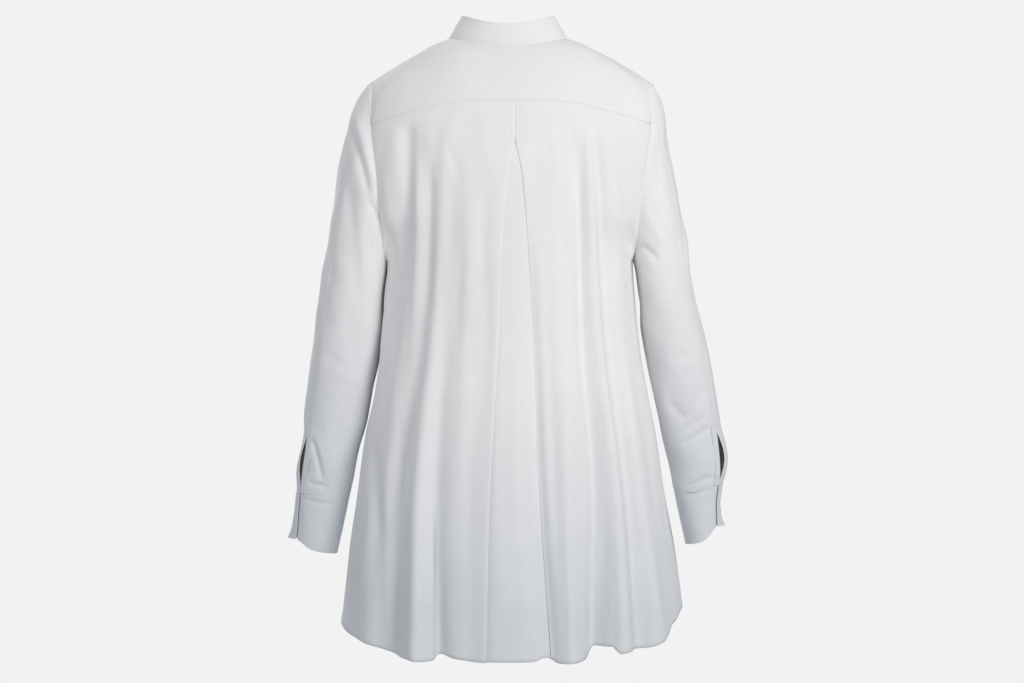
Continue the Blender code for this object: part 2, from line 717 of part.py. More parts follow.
def make_sleeves(setting):
    around = 24
    rows = len(SLEEVE_RINGS) - 1
    for side, word in ((1, "left"), (-1, "right")):

        def place(column, row, side=side):
            return sleeve_point(side, column / around, row)

        cloth_panel(
            "sleeve_" + word, around, rows, place, SLIT_ROW, turned=side < 0, setting=setting
        )


def make_cuffs(setting):
    around, rows = 24, len(CUFF_RINGS) - 1
    for side, word in ((1, "left"), (-1, "right")):

        def place(column, row, side=side):
            return cuff_point(side, column / around, row)

        cloth_panel("cuff_" + word, around, rows, place, turned=side < 0, setting=setting)


def make_slit_bands(setting):
    """Each slit has a narrow facing laid on the sleeve along its back edge."""
    last = len(SLEEVE_RINGS) - 1
    for side, word in ((1, "left"), (-1, "right")):

        def place(column, row, side=side):
            at = lerp(SLIT_BAND_START, last, row / SLIT_BAND_ROWS)
            low = min(int(at), last - 1)
            turn = SLIT_BAND_WIDTH / SLEEVE_RINGS[SLIT_ROW].back / (2 * math.pi)
            around = turn * column / 2
            a, b = sleeve_point(side, around, low), sleeve_point(side, around, low + 1)
            p = a.lerp(b, at - low)
            ring = SLEEVE_RINGS[low]
            centre = Vector(((ring.outer_x + ring.inner_x) / 2 * side, ring.middle_y, p.z))
            p += (p - centre).normalized() * ON_CLOTH
            p.z += SLIT_BAND_END_RISE if row == SLIT_BAND_ROWS else 0
            return p

        cloth_panel("slit_band_" + word, 2, SLIT_BAND_ROWS, place, turned=side < 0, setting=setting)


def make_button(name, middle, facing, setting):
    bm = bmesh.new()
    bmesh.ops.create_cone(
        bm,
        cap_ends=True,
        segments=16,
        radius1=BUTTON_RADIUS,
        radius2=BUTTON_RADIUS * BUTTON_TAPER,
        depth=BUTTON_THICK,
    )
    mesh = bpy.data.meshes.new(name)
    bm.to_mesh(mesh)
    bm.free()
    obj = new_object(name, mesh, SHELL_BUTTON, *setting)
    obj.location = middle + facing * (BUTTON_THICK / 2 + BUTTON_GAP)
    obj.rotation_euler = facing.to_track_quat("Z", "Y").to_euler()


def facing_front(low, high):
    """The direction straight out of the front, on a line that runs up it."""
    slope = high - low
    return Vector((0, -slope.z, slope.y)).normalized()


def make_buttons(setting):
    rows = 60
    line = [band_point(BAND_BUTTON_PLACE, row, rows, rows) for row in range(2 * rows + 1)]
    for i in range(BUTTON_COUNT):
        z = FIRST_BUTTON_Z - i * BUTTON_STEP
        near = min(line, key=lambda p: abs(p.z - z))
        below = min(line, key=lambda p: abs(p.z - z + BUTTON_SLOPE))
        make_button("button_%d" % (i + 1), near, facing_front(below, near), setting)
    low, middle, high = (collar_point(COLLAR_BUTTON_PLACE, s) for s in (0.2, 0.5, 0.8))
    make_button("button_collar", middle, facing_front(low, high), setting)
    for side, word in ((1, "left"), (-1, "right")):
        upper, lower = (cuff_point(side, CUFF_BUTTON_PLACE, row) for row in (1, 2))
        before, after = (cuff_point(side, CUFF_BUTTON_PLACE + step, 1) for step in (-0.01, 0.01))
        facing = (lower - upper).cross(after - before).normalized() * side
        make_button("button_cuff_" + word, upper.lerp(lower, 0.5), facing, setting)


def main():
    for obj in list(bpy.data.objects):
        bpy.data.objects.remove(obj, do_unlink=True)
    parts = bpy.data.collections.new("overshirt")
    bpy.context.scene.collection.children.link(parts)
    root = bpy.data.objects.new("overshirt_root", None)
    parts.objects.link(root)
    setting = (root, parts)
    make_yoke(setting)
    make_back(setting)
    make_fronts(setting)
    make_front_band(setting)
    make_collar(setting)
    make_sleeves(setting)
    make_slit_bands(setting)
    make_cuffs(setting)
    make_buttons(setting)


main()
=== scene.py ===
import math
from collections import namedtuple

import bmesh
import bpy
import numpy as np
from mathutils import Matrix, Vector, noise


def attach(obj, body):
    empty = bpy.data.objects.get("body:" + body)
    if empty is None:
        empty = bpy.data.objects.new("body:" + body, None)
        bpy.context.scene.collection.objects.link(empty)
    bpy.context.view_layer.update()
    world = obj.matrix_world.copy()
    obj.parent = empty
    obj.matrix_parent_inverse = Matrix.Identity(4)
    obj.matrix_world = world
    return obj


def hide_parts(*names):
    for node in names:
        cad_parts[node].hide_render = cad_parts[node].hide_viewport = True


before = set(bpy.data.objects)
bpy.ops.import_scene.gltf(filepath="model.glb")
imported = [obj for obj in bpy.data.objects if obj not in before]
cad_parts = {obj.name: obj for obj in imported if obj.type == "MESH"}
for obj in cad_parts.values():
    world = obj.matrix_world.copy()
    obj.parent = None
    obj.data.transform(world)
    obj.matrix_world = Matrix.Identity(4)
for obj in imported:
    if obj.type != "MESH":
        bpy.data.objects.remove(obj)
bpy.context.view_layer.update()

# White cotton overshirt with a back yoke and a centre-back box pleat, held open as if worn.
# Metres, +Z up; the front faces -Y and the wearer's left is +X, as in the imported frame.

# The forms below repeat the solids' own sizes, so that each shell lies on its solid.
cloth = {"wall": 0.0005, "twoLayers": 0.0009, "gap": 0.0003, "sideGap": 0.0002, "lap": 0.0024}
cloth.update({"ellipse": 2.2, "armholePower": 0.8, "underarmEase": 0.25, "solidWall": 0.0012})
cloth.update({"edgePower": 12, "edgePowerLow": 90, "normalStep": 0.002})
neck = {"half": 0.08, "back": 0.06, "front": 0.08, "backDip": 0.016, "frontDip": 0.062, "shift": 0.004}
shoulder = {"x": 0.193, "z": -0.062, "middleZ": 0.003, "roundness": 0.8, "softness": 0.09}
underarm = {"x": 0.164, "z": -0.3}
armholeDepth = {"back": 0.062, "front": 0.058, "backSeam": 60.0, "frontSeam": 30.0}

Section = namedtuple("Section", "z half back front")
sections = [
    Section(-0.093, 0.186, 0.1, 0.098),
    Section(-0.13, 0.184, 0.111, 0.11),
    Section(-0.17, 0.181, 0.117, 0.118),
    Section(-0.22, 0.174, 0.12, 0.121),
    Section(-0.3, 0.164, 0.122, 0.12),
    Section(-0.35, 0.1665, 0.1245, 0.118),
    Section(-0.39, 0.1705, 0.127, 0.118),
    Section(-0.43, 0.1755, 0.1305, 0.119),
    Section(-0.48, 0.1845, 0.1355, 0.121),
    Section(-0.53, 0.1945, 0.141, 0.125),
    Section(-0.616, 0.2075, 0.151, 0.132),
    Section(-0.697, 0.2215, 0.162, 0.139),
    Section(-0.758, 0.23, 0.171, 0.144),
    Section(-0.83, 0.235, 0.18, 0.149),
]

Ring = namedtuple("Ring", "outerX outerZ innerX innerZ back front middleY")
armhole = Ring(shoulder["x"], shoulder["z"], underarm["x"], underarm["z"], 0.062, 0.058, 0.0)
sleeveRings = [
    Ring(0.193, -0.062, 0.164, -0.3, 0.062, 0.058, 0.0),
    Ring(0.2045, -0.078, 0.166, -0.306, 0.063, 0.06, 0.0),
    Ring(0.217, -0.106, 0.168, -0.317, 0.062, 0.06, 0.0),
    Ring(0.2275, -0.15, 0.17, -0.333, 0.06, 0.059, -0.001),
    Ring(0.2365, -0.205, 0.1715, -0.356, 0.058, 0.058, -0.002),
    Ring(0.2475, -0.272, 0.173, -0.385, 0.055, 0.056, -0.004),
    Ring(0.26, -0.35, 0.1775, -0.424, 0.052, 0.053, -0.007),
    Ring(0.2705, -0.43, 0.187, -0.476, 0.048, 0.049, -0.01),
    Ring(0.2785, -0.5, 0.1985, -0.527, 0.043, 0.044, -0.013),
    Ring(0.2815, -0.531, 0.2045, -0.55, 0.041, 0.041, -0.014),
    Ring(0.2885, -0.575, 0.212, -0.583, 0.038, 0.038, -0.016),
    Ring(0.291, -0.6125, 0.219, -0.6185, 0.036, 0.036, -0.018),
]
cuffRings = [
    Ring(0.2915, -0.6128, 0.2195, -0.6188, 0.0365, 0.0365, -0.018),
    Ring(0.2935, -0.637, 0.2245, -0.643, 0.035, 0.035, -0.019),
    Ring(0.2945, -0.662, 0.23, -0.669, 0.034, 0.034, -0.02),
    Ring(0.2955, -0.686, 0.236, -0.695, 0.033, 0.033, -0.021),
]
sides = ((1, "Left"), (-1, "Right"))  # the wearer's
slit = {"row": 9, "start": 0.12, "angle": {1: 38.0, -1: 41.0}, "gap": 0.0062, "openBy": 0.9, "closing": 0.75}
slit.update({"backShare": 0.3, "bulge": {1: 0.003, -1: 0.0042}, "bulgeAngle": 80.0, "bulgeEnd": 1.9})
slit.update({"bandWidth": 0.01, "bandStart": 0.3, "cuffGap": 0.0016})

# The main folds: where each runs at five heights, its width, and how far it stands out or in.
foldHeights = (-0.12, -0.25, -0.41, -0.6, -0.8)
foldColumns = "yoke blade waist hip hem widthTop widthHem riseTop riseWaist riseHem columns drop"
Fold = namedtuple("Fold", foldColumns, defaults=(3, 0))  # grid columns to the next fold, and the hem's drop
backFolds = [
    Fold(0.16, 0.162, 0.17, 0.194, 0.192, 0.012, 0.018, 0, 0.001, 0.003, 3),  # left side ridge
    Fold(0.139, 0.143, 0.156, 0.177, 0.173, 0.01, 0.012, 0, -0.001, -0.007, 2),
    Fold(0.118, 0.107, 0.121, 0.15, 0.157, 0.01, 0.012, -0.001, -0.004, -0.01, 2),
    Fold(0.086, 0.091, 0.102, 0.119, 0.121, 0.009, 0.014, 0.001, 0.003, 0.016, 2),  # left cone
    Fold(0.068, 0.075, 0.084, 0.098, 0.095, 0.008, 0.012, 0, -0.001, -0.011, 2),
    Fold(0.05, 0.056, 0.06, 0.062, 0.06, 0.018, 0.02, 0.001, 0.002, 0.006, 3),
    Fold(-0.05, -0.058, -0.064, -0.07, -0.072, 0.014, 0.017, 0.001, 0.005, 0.018, 2),  # right cone
    Fold(-0.08, -0.089, -0.097, -0.112, -0.11, 0.008, 0.012, -0.002, -0.01, -0.019, 2),
    Fold(-0.099, -0.106, -0.116, -0.137, -0.144, 0.006, 0.014, 0.001, 0.005, 0.013, 2),
    Fold(-0.111, -0.12, -0.13, -0.152, -0.171, 0.007, 0.012, -0.002, -0.007, -0.012, 2),
    Fold(-0.125, -0.138, -0.148, -0.169, -0.194, 0.008, 0.016, 0.001, 0.004, 0.011, 2),
    Fold(-0.14, -0.155, -0.163, -0.187, -0.215, 0.008, 0.01, -0.002, -0.003, -0.003, 3),
]
frontFolds = [
    Fold(0.05, 0.056, 0.062, 0.07, 0.074, 0.014, 0.018, 0, 0.003, 0.014, drop=0.003),
    Fold(0.078, 0.086, 0.096, 0.104, 0.11, 0.012, 0.015, 0, -0.005, -0.015, drop=-0.004),
    Fold(0.105, 0.115, 0.126, 0.138, 0.146, 0.014, 0.018, 0, 0.004, 0.015, drop=0.004),
    Fold(0.13, 0.14, 0.15, 0.166, 0.182, 0.01, 0.012, 0, -0.004, -0.01),
]
Pleat = namedtuple("Pleat", "yoke blade waist hip hem riseTop riseWaist riseHem columns")
pleatEdges = {
    1: Pleat(-0.0026, 0.01, 0.0169, 0.027, 0.0313, 0.001, 0.004, 0.011, 3),
    -1: Pleat(-0.0076, -0.0205, -0.0298, -0.0373, -0.0511, 0.001, 0.004, 0.011, 4),
}
pleat = {"layer": 0.0011, "underTop": 0.014, "underHem": 0.005, "openHem": {1: 0.005, -1: 0.001}}
pleat.update({"openFrom": 0.03, "openLength": 0.75})
pleat.update({"middleRise": 0.004, "middleFrom": 0.08, "middleLength": 0.6})
pleat.update({"roll": {1: 0.0, -1: 0.01}, "rollWidth": 0.008, "rollFrom": -0.15, "rollLength": 0.42})
pleat.update({"middleX": -0.0052, "meet": 0.0004, "partZ": -0.132, "partLength": 0.055})
pleat.update({"fill": 0.0017, "fillLength": 0.03, "nearEdge": 0.03})
hem = {"front": -0.8, "round": 7, "fold": 0.0065}
hemLine = [  # the back's hem from the left side seam to the right one: x and z
    (0.233, -0.779), (0.2295, -0.785), (0.217, -0.7925), (0.205, -0.7958), (0.193, -0.8004),
    (0.174, -0.8063), (0.1574, -0.8116), (0.141, -0.815), (0.1254, -0.8158), (0.118, -0.8174),
    (0.101, -0.8169), (0.0975, -0.811), (0.0896, -0.8086), (0.0794, -0.8112), (0.0689, -0.8134),
    (0.0584, -0.8144), (0.042, -0.8163), (0.0, -0.8165), (-0.026, -0.8163), (-0.0333, -0.8152),
    (-0.0384, -0.8122), (-0.0486, -0.812), (-0.0538, -0.815), (-0.0589, -0.8178), (-0.079, -0.8178),
    (-0.093, -0.816), (-0.099, -0.8135), (-0.1045, -0.8091), (-0.1095, -0.8022), (-0.114, -0.8),
    (-0.125, -0.8005), (-0.131, -0.801), (-0.1345, -0.8085), (-0.146, -0.8075), (-0.1586, -0.8058),
    (-0.17, -0.8065), (-0.182, -0.805), (-0.194, -0.7985), (-0.1995, -0.7935), (-0.2064, -0.7885),
    (-0.2117, -0.7815), (-0.2187, -0.776), (-0.224, -0.768), (-0.2295, -0.763), (-0.233, -0.76),
]
lean = {"shift": 0.0055, "half": 0.23, "z": -0.735, "reach": 0.075}  # the left side hangs in a little here

def lerp(a, b, t):
    return a + (b - a) * t

def eased(t):
    t = np.clip(t, 0.0, 1.0)
    return t * t * (3 - 2 * t)

def stacked(x, y, z):
    return np.stack(np.broadcast_arrays(x, y, z), axis=-1).astype(float)

def curveThrough(places, values, at):  # a smooth value between rows, at any number of places
    places, values = np.asarray(places, float), np.asarray(values, float)
    if places[-1] < places[0]:
        places, values = places[::-1], values[::-1]
    at = np.clip(at, places[0], places[-1])
    i = np.clip(np.searchsorted(places, at) - 1, 0, len(places) - 2)
    before = np.maximum(np.arange(len(places)) - 1, 0)
    after = np.minimum(np.arange(len(places)) + 1, len(places) - 1)
    slope = (values[after] - values[before]) / (places[after] - places[before])
    span = places[i + 1] - places[i]
    t = (at - places[i]) / span
    return (
        (2 * t**3 - 3 * t**2 + 1) * values[i]
        + (t**3 - 2 * t**2 + t) * span * slope[i]
        + (-2 * t**3 + 3 * t**2) * values[i + 1]
        + (t**3 - t**2) * span * slope[i + 1]
    )

def section(z, column):
    return curveThrough([s.z for s in sections], [getattr(s, column) for s in sections], z)

def ringPoint(ring, angle, side=1, grow=0.0):  # angle 0 is the outer edge, a quarter turn the back
    middleX, middleZ = (ring.outerX + ring.innerX) / 2, (ring.outerZ + ring.innerZ) / 2
    halfX, halfZ = ring.outerX - middleX, ring.outerZ - middleZ
    grown = (1 + grow / np.hypot(halfX, halfZ)) * np.cos(angle)
    depth = np.where(np.sin(angle) > 0, ring.back, ring.front) + grow
    y = ring.middleY + depth * np.sin(angle)
    return stacked(side * (middleX + halfX * grown), y, middleZ + halfZ * grown)

def ringBetween(rings, row):  # the ring at a fraction of a row
    rows = range(len(rings))
    return Ring(*(curveThrough(rows, column, row) for column in zip(*rings)))

def armholeAngle(z):
    middle, half = (shoulder["z"] + underarm["z"]) / 2, (shoulder["z"] - underarm["z"]) / 2
    return np.arccos(np.clip((z - middle) / half, -1.0, 1.0))

def armholeHeight(angle):
    return lerp(underarm["z"], shoulder["z"], (1 + np.cos(angle)) / 2)

def halfWidth(z):
    return np.where(z > underarm["z"], ringPoint(armhole, armholeAngle(z))[..., 0], section(z, "half"))

def plainSection(x, z, front=False):  # the body without folds, at a side offset and a height
    half = halfWidth(z)
    full = armholeDepth["front" if front else "back"]
    edge = np.where(z > underarm["z"], full * np.sin(armholeAngle(z)), 0.0)
    depth = section(z, "front" if front else "back")
    share = np.minimum(np.abs(x) / half, 1.0)
    above = (z - underarm["z"]) / (shoulder["z"] - underarm["z"])
    easedEdge = edge * eased(above / cloth["underarmEase"])
    power = lerp(1 / cloth["ellipse"], cloth["armholePower"], easedEdge / full)
    y = lerp(easedEdge, depth, np.maximum(1 - share ** cloth["ellipse"], 0.0) ** power)
    nearEdge = lerp(cloth["edgePowerLow"], cloth["edgePower"], eased(above / cloth["underarmEase"]))
    y = y + (edge - easedEdge) * share**nearEdge + cloth["sideGap"]
    return stacked(x, -y if front else y, z)

def outward(x, z, front=False):
    reach = halfWidth(z)
    step = cloth["normalStep"]
    along = plainSection(np.minimum(x + step, reach), z, front)
    along = along - plainSection(np.maximum(x - step, -reach), z, front)
    sign = 1 if front else -1
    normal = stacked(sign * along[..., 1], -sign * along[..., 0], 0.0)
    return normal / np.linalg.norm(normal, axis=-1, keepdims=True)

def foldX(row, z):
    return curveThrough(foldHeights, (row.yoke, row.blade, row.waist, row.hip, row.hem), z)

def foldHeight(row, z):
    return curveThrough(foldHeights[::2], (row.riseTop, row.riseWaist, row.riseHem), z)

def foldShape(row, x, z):
    width = lerp(row.widthTop, row.widthHem, eased((foldHeights[0] - z) / 0.68))
    return np.exp(-(((x - foldX(row, z)) / width) ** 2))

def belowSeam(x, z):
    return eased((yokeSeamHeight(x) - 0.004 - z) / 0.06)

def foldRise(rows, x, z):
    rise = sum(foldHeight(row, z) * foldShape(row, x, z) for row in rows)
    side = 1 - np.minimum(np.abs(x) / halfWidth(z), 1.0) ** 8
    return rise * side * belowSeam(x, z)

def hemHeight(x, front=False):
    if not front:
        return curveThrough(*zip(*hemLine), x)
    share = np.minimum(np.abs(x) / halfWidth(np.float64(hem["front"])), 1.0) ** hem["round"]
    drop = sum(row.drop * foldShape(row, np.abs(x), foldHeights[-1]) for row in frontFolds)
    side = np.where(x > 0, hemLine[0][1], hemLine[-1][1])
    return lerp(hem["front"] - drop * (1 - share), side, share)

def leaned(points):
    share = np.clip(points[..., 0] / lean["half"], 0, 1) ** 3
    points[..., 0] -= lean["shift"] * share * np.exp(-(((points[..., 2] - lean["z"]) / lean["reach"]) ** 2))
    return points

yoke = {"seamZ": -0.0935, "flatHalf": 0.055, "frontAngle": 112.5, "frontDrop": 13.0, "armShare": 0.3}
yoke.update({"startSlope": 0.2, "endSlope": 3.0, "columns": 190, "rows": 46})

def yokeSeamHeight(x):
    corner = ringPoint(armhole, math.radians(armholeDepth["backSeam"]))
    beyond = np.maximum(np.abs(x) - yoke["flatHalf"], 0.0) / (corner[0] - yoke["flatHalf"])
    return lerp(yoke["seamZ"], corner[2], beyond**1.4)

def neckPoint(angle):  # 0 at the centre back, half a turn at the centre front
    c = np.cos(angle)
    depth = np.where(c > 0, neck["back"], neck["front"])
    dip = np.where(c > 0, neck["backDip"], neck["frontDip"])
    return stacked(neck["half"] * np.sin(angle) + neck["shift"], depth * c, -dip * c * c)

def topHeight(x, y):  # the yoke's surface above a point of the plan
    out = np.abs(x)
    beyond = (out - neck["half"]) / (shoulder["x"] - neck["half"])
    beyond = shoulder["softness"] * np.logaddexp(0, beyond / shoulder["softness"])
    ridge = shoulder["middleZ"] * (1 - (out / shoulder["x"]) ** 2)
    ridge = ridge + shoulder["z"] * lerp(beyond, beyond**2, 1 - shoulder["roundness"])
    seam = yokeSeamHeight(x)
    far = plainSection(np.minimum(out, halfWidth(seam)), seam)[..., 1]
    q = np.clip(y / far, 0.0, 1.0)
    fall = (
        (q**3 - 2 * q**2 + q) * yoke["startSlope"] + (-2 * q**3 + 3 * q**2) + (q**3 - q**2) * yoke["endSlope"]
    )
    return np.where(y < 0, ridge - yoke["frontDrop"] * y * y, ridge - (ridge - seam) * fall)

def yokeEdge(t):  # along one armhole, the back seam and the other armhole
    side, out = np.where(t > 0, 1, -1), np.abs(t)
    corner = ringPoint(armhole, math.radians(armholeDepth["backSeam"]))
    k = np.maximum(out - 1 + yoke["armShare"], 0) / yoke["armShare"]
    arm = ringPoint(armhole, np.radians(lerp(armholeDepth["backSeam"], -armholeDepth["frontSeam"], k)), side)
    x = np.minimum(corner[0] * out / (1 - yoke["armShare"]), corner[0])
    back = plainSection(x, yokeSeamHeight(x))
    back[..., 0] *= side
    return np.where((out > 1 - yoke["armShare"])[..., None], arm, back)

def onYoke(p, inner, outer, s):  # lifts a point of the plan to the yoke's surface
    innerOff = inner[..., 2] - topHeight(inner[..., 0], inner[..., 1])
    outerOff = outer[..., 2] - topHeight(outer[..., 0], outer[..., 1])
    p[..., 2] = topHeight(p[..., 0], p[..., 1]) + lerp(innerOff, outerOff, s)
    return p

def yokePoints(t, s):
    inner, outer = neckPoint(np.radians(yoke["frontAngle"]) * t), yokeEdge(t)
    return onYoke(lerp(inner, outer, s[..., None]), inner, outer, s)

back = {"perColumn": 6, "perPleatStep": 4, "underColumns": 24, "above": 62, "below": 98}
back.update({"evenRows": 0.5, "seamGap": 0.3, "seamFlat": 0.035, "denser": 0.6, "sidePower": 1.8})

def backHeight(x, v):  # v is 0 at the yoke seam, 1 at the underarm and 2 at the hem
    corner = math.radians(armholeDepth["backSeam"])
    high = armholeHeight(corner)
    above = (armholeHeight(lerp(corner, math.pi, np.minimum(v, 1))) - high) / (underarm["z"] - high)
    above = lerp(above, np.minimum(v, 1), back["evenRows"])
    top = lerp(yokeSeamHeight(x) - cloth["gap"] * back["seamGap"], underarm["z"], above)
    return np.where(v <= 1, top, lerp(underarm["z"], hemHeight(x), v - 1))

def pleatX(side, z):  # the two folded edges meet below the yoke, down to where they part
    apart = eased((pleat["partZ"] - z) / pleat["partLength"])
    return lerp(pleat["middleX"] + side * pleat["meet"], foldX(pleatEdges[side], z), apart)

def pleatRoll(side, x, z):  # the outer layer turns in towards its folded edge
    deep = pleat["roll"][side] * eased((pleat["rollFrom"] - z) / pleat["rollLength"])
    return deep * np.exp(-(((x - pleatX(side, z)) / pleat["rollWidth"]) ** 2))

def pleatCurve(side, step, z):  # the folded edge and the layers hidden behind it
    reach = lerp(pleat["underTop"], pleat["underHem"], eased((yoke["seamZ"] - z) / pleat["openLength"]))
    opened = pleat["openHem"][side] * eased((yoke["seamZ"] - pleat["openFrom"] - z) / pleat["openLength"])
    layer = pleat["layer"]
    under = layer + opened
    across = np.stack([0 * z, 0 * z - layer / 2, 0 * z, reach, reach + 0.3 * layer, reach])
    depth = np.stack([0 * z, 0 * z + layer / 2, 0 * z + layer, under, under + 0.6 * layer,
        under + 1.1 * layer])
    place = np.array([curveThrough(range(6), unit, step) for unit in np.eye(6)])
    across, depth = (np.einsum("kmn,kmn->mn", a, np.broadcast_to(place, a.shape)) for a in (across, depth))
    x = pleatX(side, z)
    rise = foldHeight(pleatEdges[side], z) * belowSeam(x, z) - pleatRoll(side, x, z)
    return x + side * across, rise - depth

def foldsOn(side):  # from the side seam to the pleat
    return sorted((row for row in backFolds if row.yoke * side > 0), key=lambda row: -abs(row.yoke))

def sidePanel(side, u, z):  # the outer layer, whose grid lines follow the folds
    knots = np.stack([side * halfWidth(z)] + [foldX(row, z) for row in foldsOn(side)] + [pleatX(side, z)])
    i = np.broadcast_to(np.clip(np.floor(u).astype(int), 0, len(knots) - 2), z.shape)
    share = np.where(i == 0, np.maximum(u - i, 0) ** back["sidePower"], u - i)
    low, high = (np.take_along_axis(knots, k[None], axis=0)[0] for k in (i, i + 1))
    x = lerp(low, high, share)
    near = eased(1 - np.abs(x - pleatX(side, z)) / pleat["nearEdge"])
    rise = lerp(foldRise(backFolds, x, z), foldHeight(pleatEdges[side], z) * belowSeam(x, z), near)
    return x, rise - pleatRoll(side, x, z)

def hiddenPanel(t, z):
    last = np.full((1, 1), 5.0)
    x0, r0 = pleatCurve(-1, last, z)
    x1, r1 = pleatCurve(1, last, z)
    swell = pleat["middleRise"] * eased((yoke["seamZ"] - pleat["middleFrom"] - z) / pleat["middleLength"])
    swell = swell + pleat["fill"] * eased((pleat["partZ"] - z) / pleat["fillLength"])
    return lerp(x0, x1, t), lerp(r0, r1, t) + swell * np.sin(np.pi * t)

def backBlock(place, v, count):
    z = np.full((len(v), count), -0.4)
    for turn in range(5):
        x, rise = place(z)
        z = backHeight(x, v)
    x, rise = place(z)
    return plainSection(x, z) + outward(x, z) * rise[..., None]

def backPoints():
    above = np.linspace(0, 1, back["above"], endpoint=False)
    below = np.linspace(0, 1, back["below"])
    below = below + back["denser"] * np.sin(np.pi * below) ** 2 * below * (1 - below)
    v = np.concatenate([above, 1 + below])[:, None]
    blocks = []
    for side in (-1, 1):
        counts = [row.columns * back["perColumn"] for row in foldsOn(side) + [pleatEdges[side]]]
        u = np.concatenate([i + np.arange(n) / n for i, n in enumerate(counts)])[None, :]
        outer = backBlock(lambda z: sidePanel(side, u, z), v, u.shape[1])
        step = np.linspace(0, 5, 5 * back["perPleatStep"] + 1)[None, :]
        folded = backBlock(lambda z: pleatCurve(side, step, z), v, step.shape[1])
        both = np.concatenate([outer, folded], axis=1)
        blocks.append(both if side < 0 else both[:, ::-1])
    t = np.linspace(0, 1, back["underColumns"] + 2)[None, 1:-1]
    hidden = backBlock(lambda z: hiddenPanel(t, z), v, t.shape[1])
    return np.concatenate([blocks[0], hidden, blocks[1]], axis=1)

front = {"lap": 0.015, "neckColumns": 7, "columns": 15, "liftHalf": 0.05, "collarLap": 11.25}
front.update({"chest": np.array([0, -0.72, -0.69]), "fine": 100, "above": 62, "below": 92})
neckShare = front["neckColumns"] / front["columns"]

def frontTop(c, side):  # the front's top edge, along the neckline and then the yoke seam
    start = 180.0 + front["collarLap"]
    angle = np.radians(lerp(start, yoke["frontAngle"], np.minimum(c / neckShare, 1)))
    inner = neckPoint(side * np.radians(np.full_like(c, yoke["frontAngle"])))
    outer = ringPoint(armhole, math.radians(-armholeDepth["frontSeam"]), side)
    k = np.clip((c - neckShare) / (1 - neckShare), 0, 1)
    seam = onYoke(lerp(inner, outer, k[..., None]), inner, outer, k)
    return np.where((c < neckShare)[..., None], neckPoint(side * angle), seam)

def frontLow(c, z, side):
    x = side * lerp(-front["lap"], halfWidth(z), np.sin(c * np.pi / 2))
    rise = foldRise(frontFolds, np.abs(x), z)
    return plainSection(x, z, True) + outward(x, z, True) * rise[..., None]

def frontChest(c, k, side):
    z = np.full_like(c, underarm["z"])
    top, bottom = frontTop(c, side), frontLow(c, z, side)
    down = frontLow(c, z - 0.01, side) - bottom
    chord = np.linalg.norm(top - bottom, axis=-1, keepdims=True)
    start = front["chest"] * chord * 0.9
    end = down / np.linalg.norm(down, axis=-1, keepdims=True) * chord * 1.1
    k = k[..., None]
    return (
        top * (2 * k**3 - 3 * k**2 + 1)
        + start * (k**3 - 2 * k**2 + k)
        + bottom * (-2 * k**3 + 3 * k**2)
        + end * (k**3 - k**2)
    )

def frontPoints(c, v, side, lift):  # c is 0 at the front edge and 1 at the side; v as for the back
    c, v = (a.astype(float) for a in np.broadcast_arrays(c, v))
    xHem = side * lerp(-front["lap"], halfWidth(np.float64(hem["front"])), np.sin(c * np.pi / 2))
    low = frontLow(c, lerp(underarm["z"], hemHeight(xHem, True), np.maximum(v - 1, 0)), side)
    k = np.minimum(v, 1)
    arm = ringPoint(armhole, np.radians(lerp(-armholeDepth["frontSeam"], -180.0, k)), side)
    pull = 1 - np.maximum(np.cos(c * np.pi / 2), 0.0) ** 0.9
    chest = frontChest(c, k, side)
    chest = chest + (arm - frontChest(np.ones_like(c), k, side)) * pull[..., None]
    chest = chest + front["chest"] * cloth["gap"] * 2 * (1 - k[..., None])
    chest[..., 1] -= cloth["sideGap"] * k
    p = np.where((v >= 1)[..., None], low, chest)
    p[..., 1] -= lift * (1 - eased(np.abs(p[..., 0]) / front["liftHalf"]))
    return p

sleeve = {"around": 150, "upRows": 130, "slitRows": 60, "seamGap": 0.0001}
Fit = namedtuple("Fit", "z outer inner lift")  # how the right arm hangs: edges moved in, and the wrist raised
rightArm = [
    Fit(-0.06, 0.002, 0, 0),
    Fit(-0.085, 0.005, 0, 0),
    Fit(-0.11, 0.009, 0, 0),
    Fit(-0.15, 0.015, 0, 0),
    Fit(-0.208, 0.013, 0, 0),
    Fit(-0.256, 0.0108, 0, 0),
    Fit(-0.329, 0.011, 0.001, 0),
    Fit(-0.377, 0.0085, 0.003, 0),
    Fit(-0.425, 0.001, 0.004, 0),
    Fit(-0.498, -0.003, 0.004, 0.001),
    Fit(-0.547, -0.004, 0.003, 0.0055),
    Fit(-0.595, -0.0005, 0.002, 0.0095),
    Fit(-0.619, 0.0055, 0.001, 0.012),
    Fit(-0.643, 0.0105, 0.001, 0.0125),
    Fit(-0.7, 0.013, 0.001, 0.0125),
]

def fitted(points, side, outerShare):  # outerShare is 1 on the outer edge of the arm and 0 on the inner
    if side < 0:
        z, *moves = zip(*rightArm)
        outer, inner, lift = (curveThrough(z, column, points[..., 2]) for column in moves)
        points[..., 0] += outer * outerShare - inner * (1 - outerShare)
        points[..., 2] += lift
    return points

